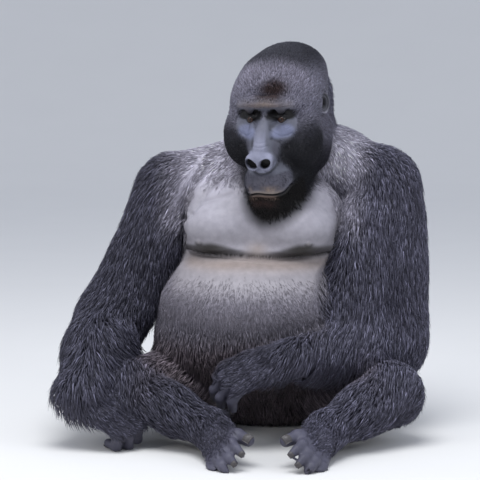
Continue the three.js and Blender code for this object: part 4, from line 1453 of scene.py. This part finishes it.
# Root, middle and tip: half the length and then all of it along the lie, raised by a share of the coat's
# rise, with tips drawn together into locks and heights put right against the skin.
def growTufts():
    rng = np.random.default_rng(coatGrowth["seed"])
    root, n = sowTufts(rng)
    w = zoneWeights(root)
    length, rise, width, _ = coatAt(root, w)
    count = len(root)
    way = lieOfCoat(root, w)
    way = rows(way - (way * n).sum(axis=1)[:, None] * n)
    across = np.cross(n, way)
    turn = coatGrowth["wander"] * waves(root, 70, 1) + coatGrowth["wander"] * 0.7 * waves(root, 22, 2)
    turn += coatGrowth["stray"] * rng.normal(size=count)
    way = rows(way + turn[:, None] * across)
    length = length * (0.72 + 0.56 * rng.random(count))
    midHigh = rise * (0.35 + 0.55 * rng.random(count))
    tipHigh = rise * (0.25 + 0.95 * rng.random(count) ** 1.6)
    middle = root + 0.5 * length[:, None] * way + midHigh[:, None] * n
    tip = root + length[:, None] * way + tipHigh[:, None] * n
    tip[:, 2] -= coatGrowth["sag"] * length * np.minimum(length / 50, 1)
    for size, low, high in ((15.0, 30, 999), (6.5, 0, 30)):
        some = (length > low) & (length <= high)
        cell = np.floor((root[some] + 4 * waves(root[some], 30)[:, None]) / size).astype(int)
        key = np.unique(cell, axis=0, return_inverse=True)[1].ravel()
        many = np.bincount(key)
        lock = np.stack([np.bincount(key, tip[some, i]) / many for i in range(3)], 1)[key]
        tip[some] += coatGrowth["locks"] * (lock - tip[some])
    for place, high in ((middle, midHigh), (tip, tipHigh)):
        gap = skinField(place.astype(np.float32))
        place += np.clip(high - gap, -22, 40)[:, None] * n
        place[:, 2] = np.maximum(place[:, 2], coatGrowth["lowest"])
    width = width * (0.75 + 0.5 * rng.random(count))
    return root - coatGrowth["rootDeep"] * n, middle, tip, n, width, w, rng


# Each root's place on an unwrap of its part: angles on a ball for the head, and round and along a tube
# for the rest.
def chartOf(name, p):
    if name == "head":
        q = into(headFrame, p) - vec(4, 0, -40)
        r = np.linalg.norm(q, axis=1)
        u, v = np.arctan2(q[:, 0], -q[:, 1]) / (2 * math.pi) + 0.5, np.arccos(q[:, 2] / r) / math.pi
    else:
        start, end = chartAxis[name]
        axis = unit(end - start)
        side = unit(np.cross(axis, [0.3, 1, 0.2]))
        q = p - start
        v = q @ axis / np.linalg.norm(end - start)
        u = np.arctan2(q @ side, q @ np.cross(axis, side)) / (2 * math.pi) + 0.5
        v = (v - v.min()) / (v.max() - v.min() + 1e-6)
    return 0.01 + 0.975 * np.stack([u, v], 1)


chartAxis = {"trunk": (vec(20, 0, 0), vec(20, 0, 700)), "neck": (vec(60, 40, 600), vec(60, 40, 850))}
for side, s in sides:
    j = joints[side]
    chartAxis["upper_arm_" + side] = (j["shoulder"], j["elbow"])
    chartAxis["forearm_" + side] = (j["elbow"], j["wrist"])
    chartAxis["hand_" + side] = (j["wrist"], j["wrist"] + 150 * unit(palms[side]["along"]))
    chartAxis["thigh_" + side] = (j["hip"], j["knee"])
    chartAxis["shin_" + side] = (j["knee"], j["ankle"])
    chartAxis["foot_" + side] = (j["ankle"], j["ankle"] + 150 * unit(soles[side]["along"]))

# A tuft is a closed three-sided spike: a ring at the root, a ring at its bend, and a tip.
tuftFaces = np.array([
    [0, 1, 4], [0, 4, 3], [1, 2, 5], [1, 5, 4], [2, 0, 3],
    [2, 3, 5], [3, 4, 6], [4, 5, 6], [5, 3, 6], [2, 1, 0],
])
tuftPatch = {"size": 0.003, "around": [0, 0.5, 1, 0, 0.5, 1, 0.5], "along": [0, 0, 0, 0.5, 0.5, 0.5, 1]}


# Rings a half width to each side at root and middle, then the tip; faces are turned outwards if their
# volume is negative, and all corners of a tuft share a small patch at its root's place.
def tuftPiece(name, chart, some, tufts, colour):
    root, middle, tip, n, width = (v[some] for v in tufts[:5])
    ahead = rows(middle - root)
    side = rows(np.cross(ahead, n))
    up = np.cross(side, ahead)
    wide = width[:, None]
    ring = [-side * wide, side * wide, up * wide * 0.8]
    points = [root + 0.8 * r for r in ring] + [middle + 0.9 * r for r in ring] + [tip]
    points = np.stack(points, 1)
    points[:, :, 2] = np.maximum(points[:, :, 2], 0.3)
    faces = (tuftFaces + 7 * np.arange(len(root))[:, None, None]).reshape(-1, 3)
    corner = points[0][tuftFaces]
    volume = np.einsum("ij,ij->", corner[:, 0], np.cross(corner[:, 1], corner[:, 2]))
    if volume < 0:
        faces = faces[:, ::-1]
    piece = newMesh(name, points.reshape(-1, 3), faces)
    shade = np.array(coatShade["along"])
    keepColour(piece, "tint", (colour[some][:, None, :] * shade[None, :, None]).reshape(-1, 3))
    patch = np.stack([tuftPatch["around"], tuftPatch["along"]], 1) * tuftPatch["size"]
    places = (chartOf(chart, root)[:, None, :] + patch).reshape(-1, 2)
    keepMap(piece, places[faces.ravel()])
    finishPiece(piece, coat)
    return len(faces)


def makeCoat():  # the markings with their painted light and shade, times exp of seeded chance, then one piece for each zone
    tufts = growTufts()
    root, w, rng = tufts[0], tufts[5], tufts[6]
    print("tufts grown:", len(root))
    colour = markingsAndPaintedLight(root, w)
    even = w[:, zoneOf["head"]] + chestFront(into(trunkFrame, root)) * w[:, 0]
    chance = coatShade["contrast"] - coatShade["calm"] * np.clip(even, 0, 1)
    colour = colour * np.exp(chance[:, None] * rng.normal(size=(len(root), 1)))
    zone = w.argmax(axis=1)
    total = 0
    for i, name in enumerate(zoneNames):
        halves = {"": zone == i}
        if name == "trunk":
            y = into(trunkFrame, root)[:, 1]
            halves = {"_front": (zone == i) & (y < 0), "_back": (zone == i) & (y >= 0)}
        if name == "head":
            x = into(headFrame, root)[:, 0]
            halves = {"_right": (zone == i) & (x < 5), "_left": (zone == i) & (x >= 5)}
        for ending, some in halves.items():
            count = tuftPiece("coat_" + name + ending, name, some, tufts, colour)
            print("coat_" + name + ending, count)
            total += count
    print("coat made:", total, "triangles")


makeCoat()


# Floor and light: a pale floor that rises far off on all sides, a wide soft lamp above and a weak one to
# each side. Each lamp has its place, size, power and colour.
studio = {
    "floor": (0.72, 0.71, 0.69, 1), "world": (0.80, 0.86, 1.0, 1), "strength": 0.75,
    "flat": 7000, "rise": 2600, "reach": 14000, "lines": 57, "aim": (0, 0, 0.5),
    "overhead": ((-0.3, -1.2, 3.6), 2.6, 105, (0.95, 0.97, 1.0)),
    "left": ((-3.2, -2.6, 2.2), 1.8, 34, (1.0, 0.98, 0.95)),
    "right": ((3.2, -2.2, 2.0), 1.8, 26, (0.93, 0.96, 1.0)),
}


def makeFloor(look):  # a grid whose height rises smoothly with the distance from the middle
    along = np.linspace(-look["reach"], look["reach"], look["lines"])
    x, y = np.meshgrid(along, along, indexing="ij")
    z = look["rise"] * step(look["flat"], 2 * look["flat"], np.hypot(x, y))
    floor = newMesh("floor", np.stack([x, y, z], -1).reshape(-1, 3), gridFaces(len(along), len(along)))
    material, nodes, links, shader = newMaterial("floor")
    place = addNode(nodes, "ShaderNodeTexCoord")
    grain = addNode(nodes, "ShaderNodeTexNoise", Scale=3, Detail=3)
    links.new(place.outputs["Object"], grain.inputs["Vector"])
    ramp = addNode(nodes, "ShaderNodeValToRGB")
    ramp.color_ramp.elements[0].color = look["floor"]
    ramp.color_ramp.elements[1].color = tuple(1.03 * v for v in look["floor"])
    links.new(grain.outputs["Fac"], ramp.inputs["Fac"])
    links.new(ramp.outputs["Color"], shader.inputs["Base Color"])
    shader.inputs["Roughness"].default_value = 0.9
    floor.data.materials.append(material)


def makeLamp(name, place, target, size, power, colour):  # a disc, turned along the target less the place
    data = bpy.data.lights.new(name, "AREA")
    data.shape = "DISK"
    data.size, data.energy, data.color = size, power, colour
    lamp = bpy.data.objects.new(name, data)
    bpy.context.scene.collection.objects.link(lamp)
    lamp.location = place
    lamp.rotation_euler = (Vector(target) - Vector(place)).to_track_quat("-Z", "Y").to_euler()


def makeWorld(look):  # one even colour
    world = bpy.data.worlds.new("studio")
    world.use_nodes = True
    world.node_tree.nodes["Background"].inputs["Color"].default_value = look["world"]
    world.node_tree.nodes["Background"].inputs["Strength"].default_value = look["strength"]
    bpy.context.scene.world = world


makeFloor(studio)
makeWorld(studio)
for name in ("overhead", "left", "right"):
    place, size, power, colour = studio[name]
    makeLamp(name, place, studio["aim"], size, power, colour)
bpy.context.scene.view_settings.view_transform = "Standard"
print("floor and lamps placed")
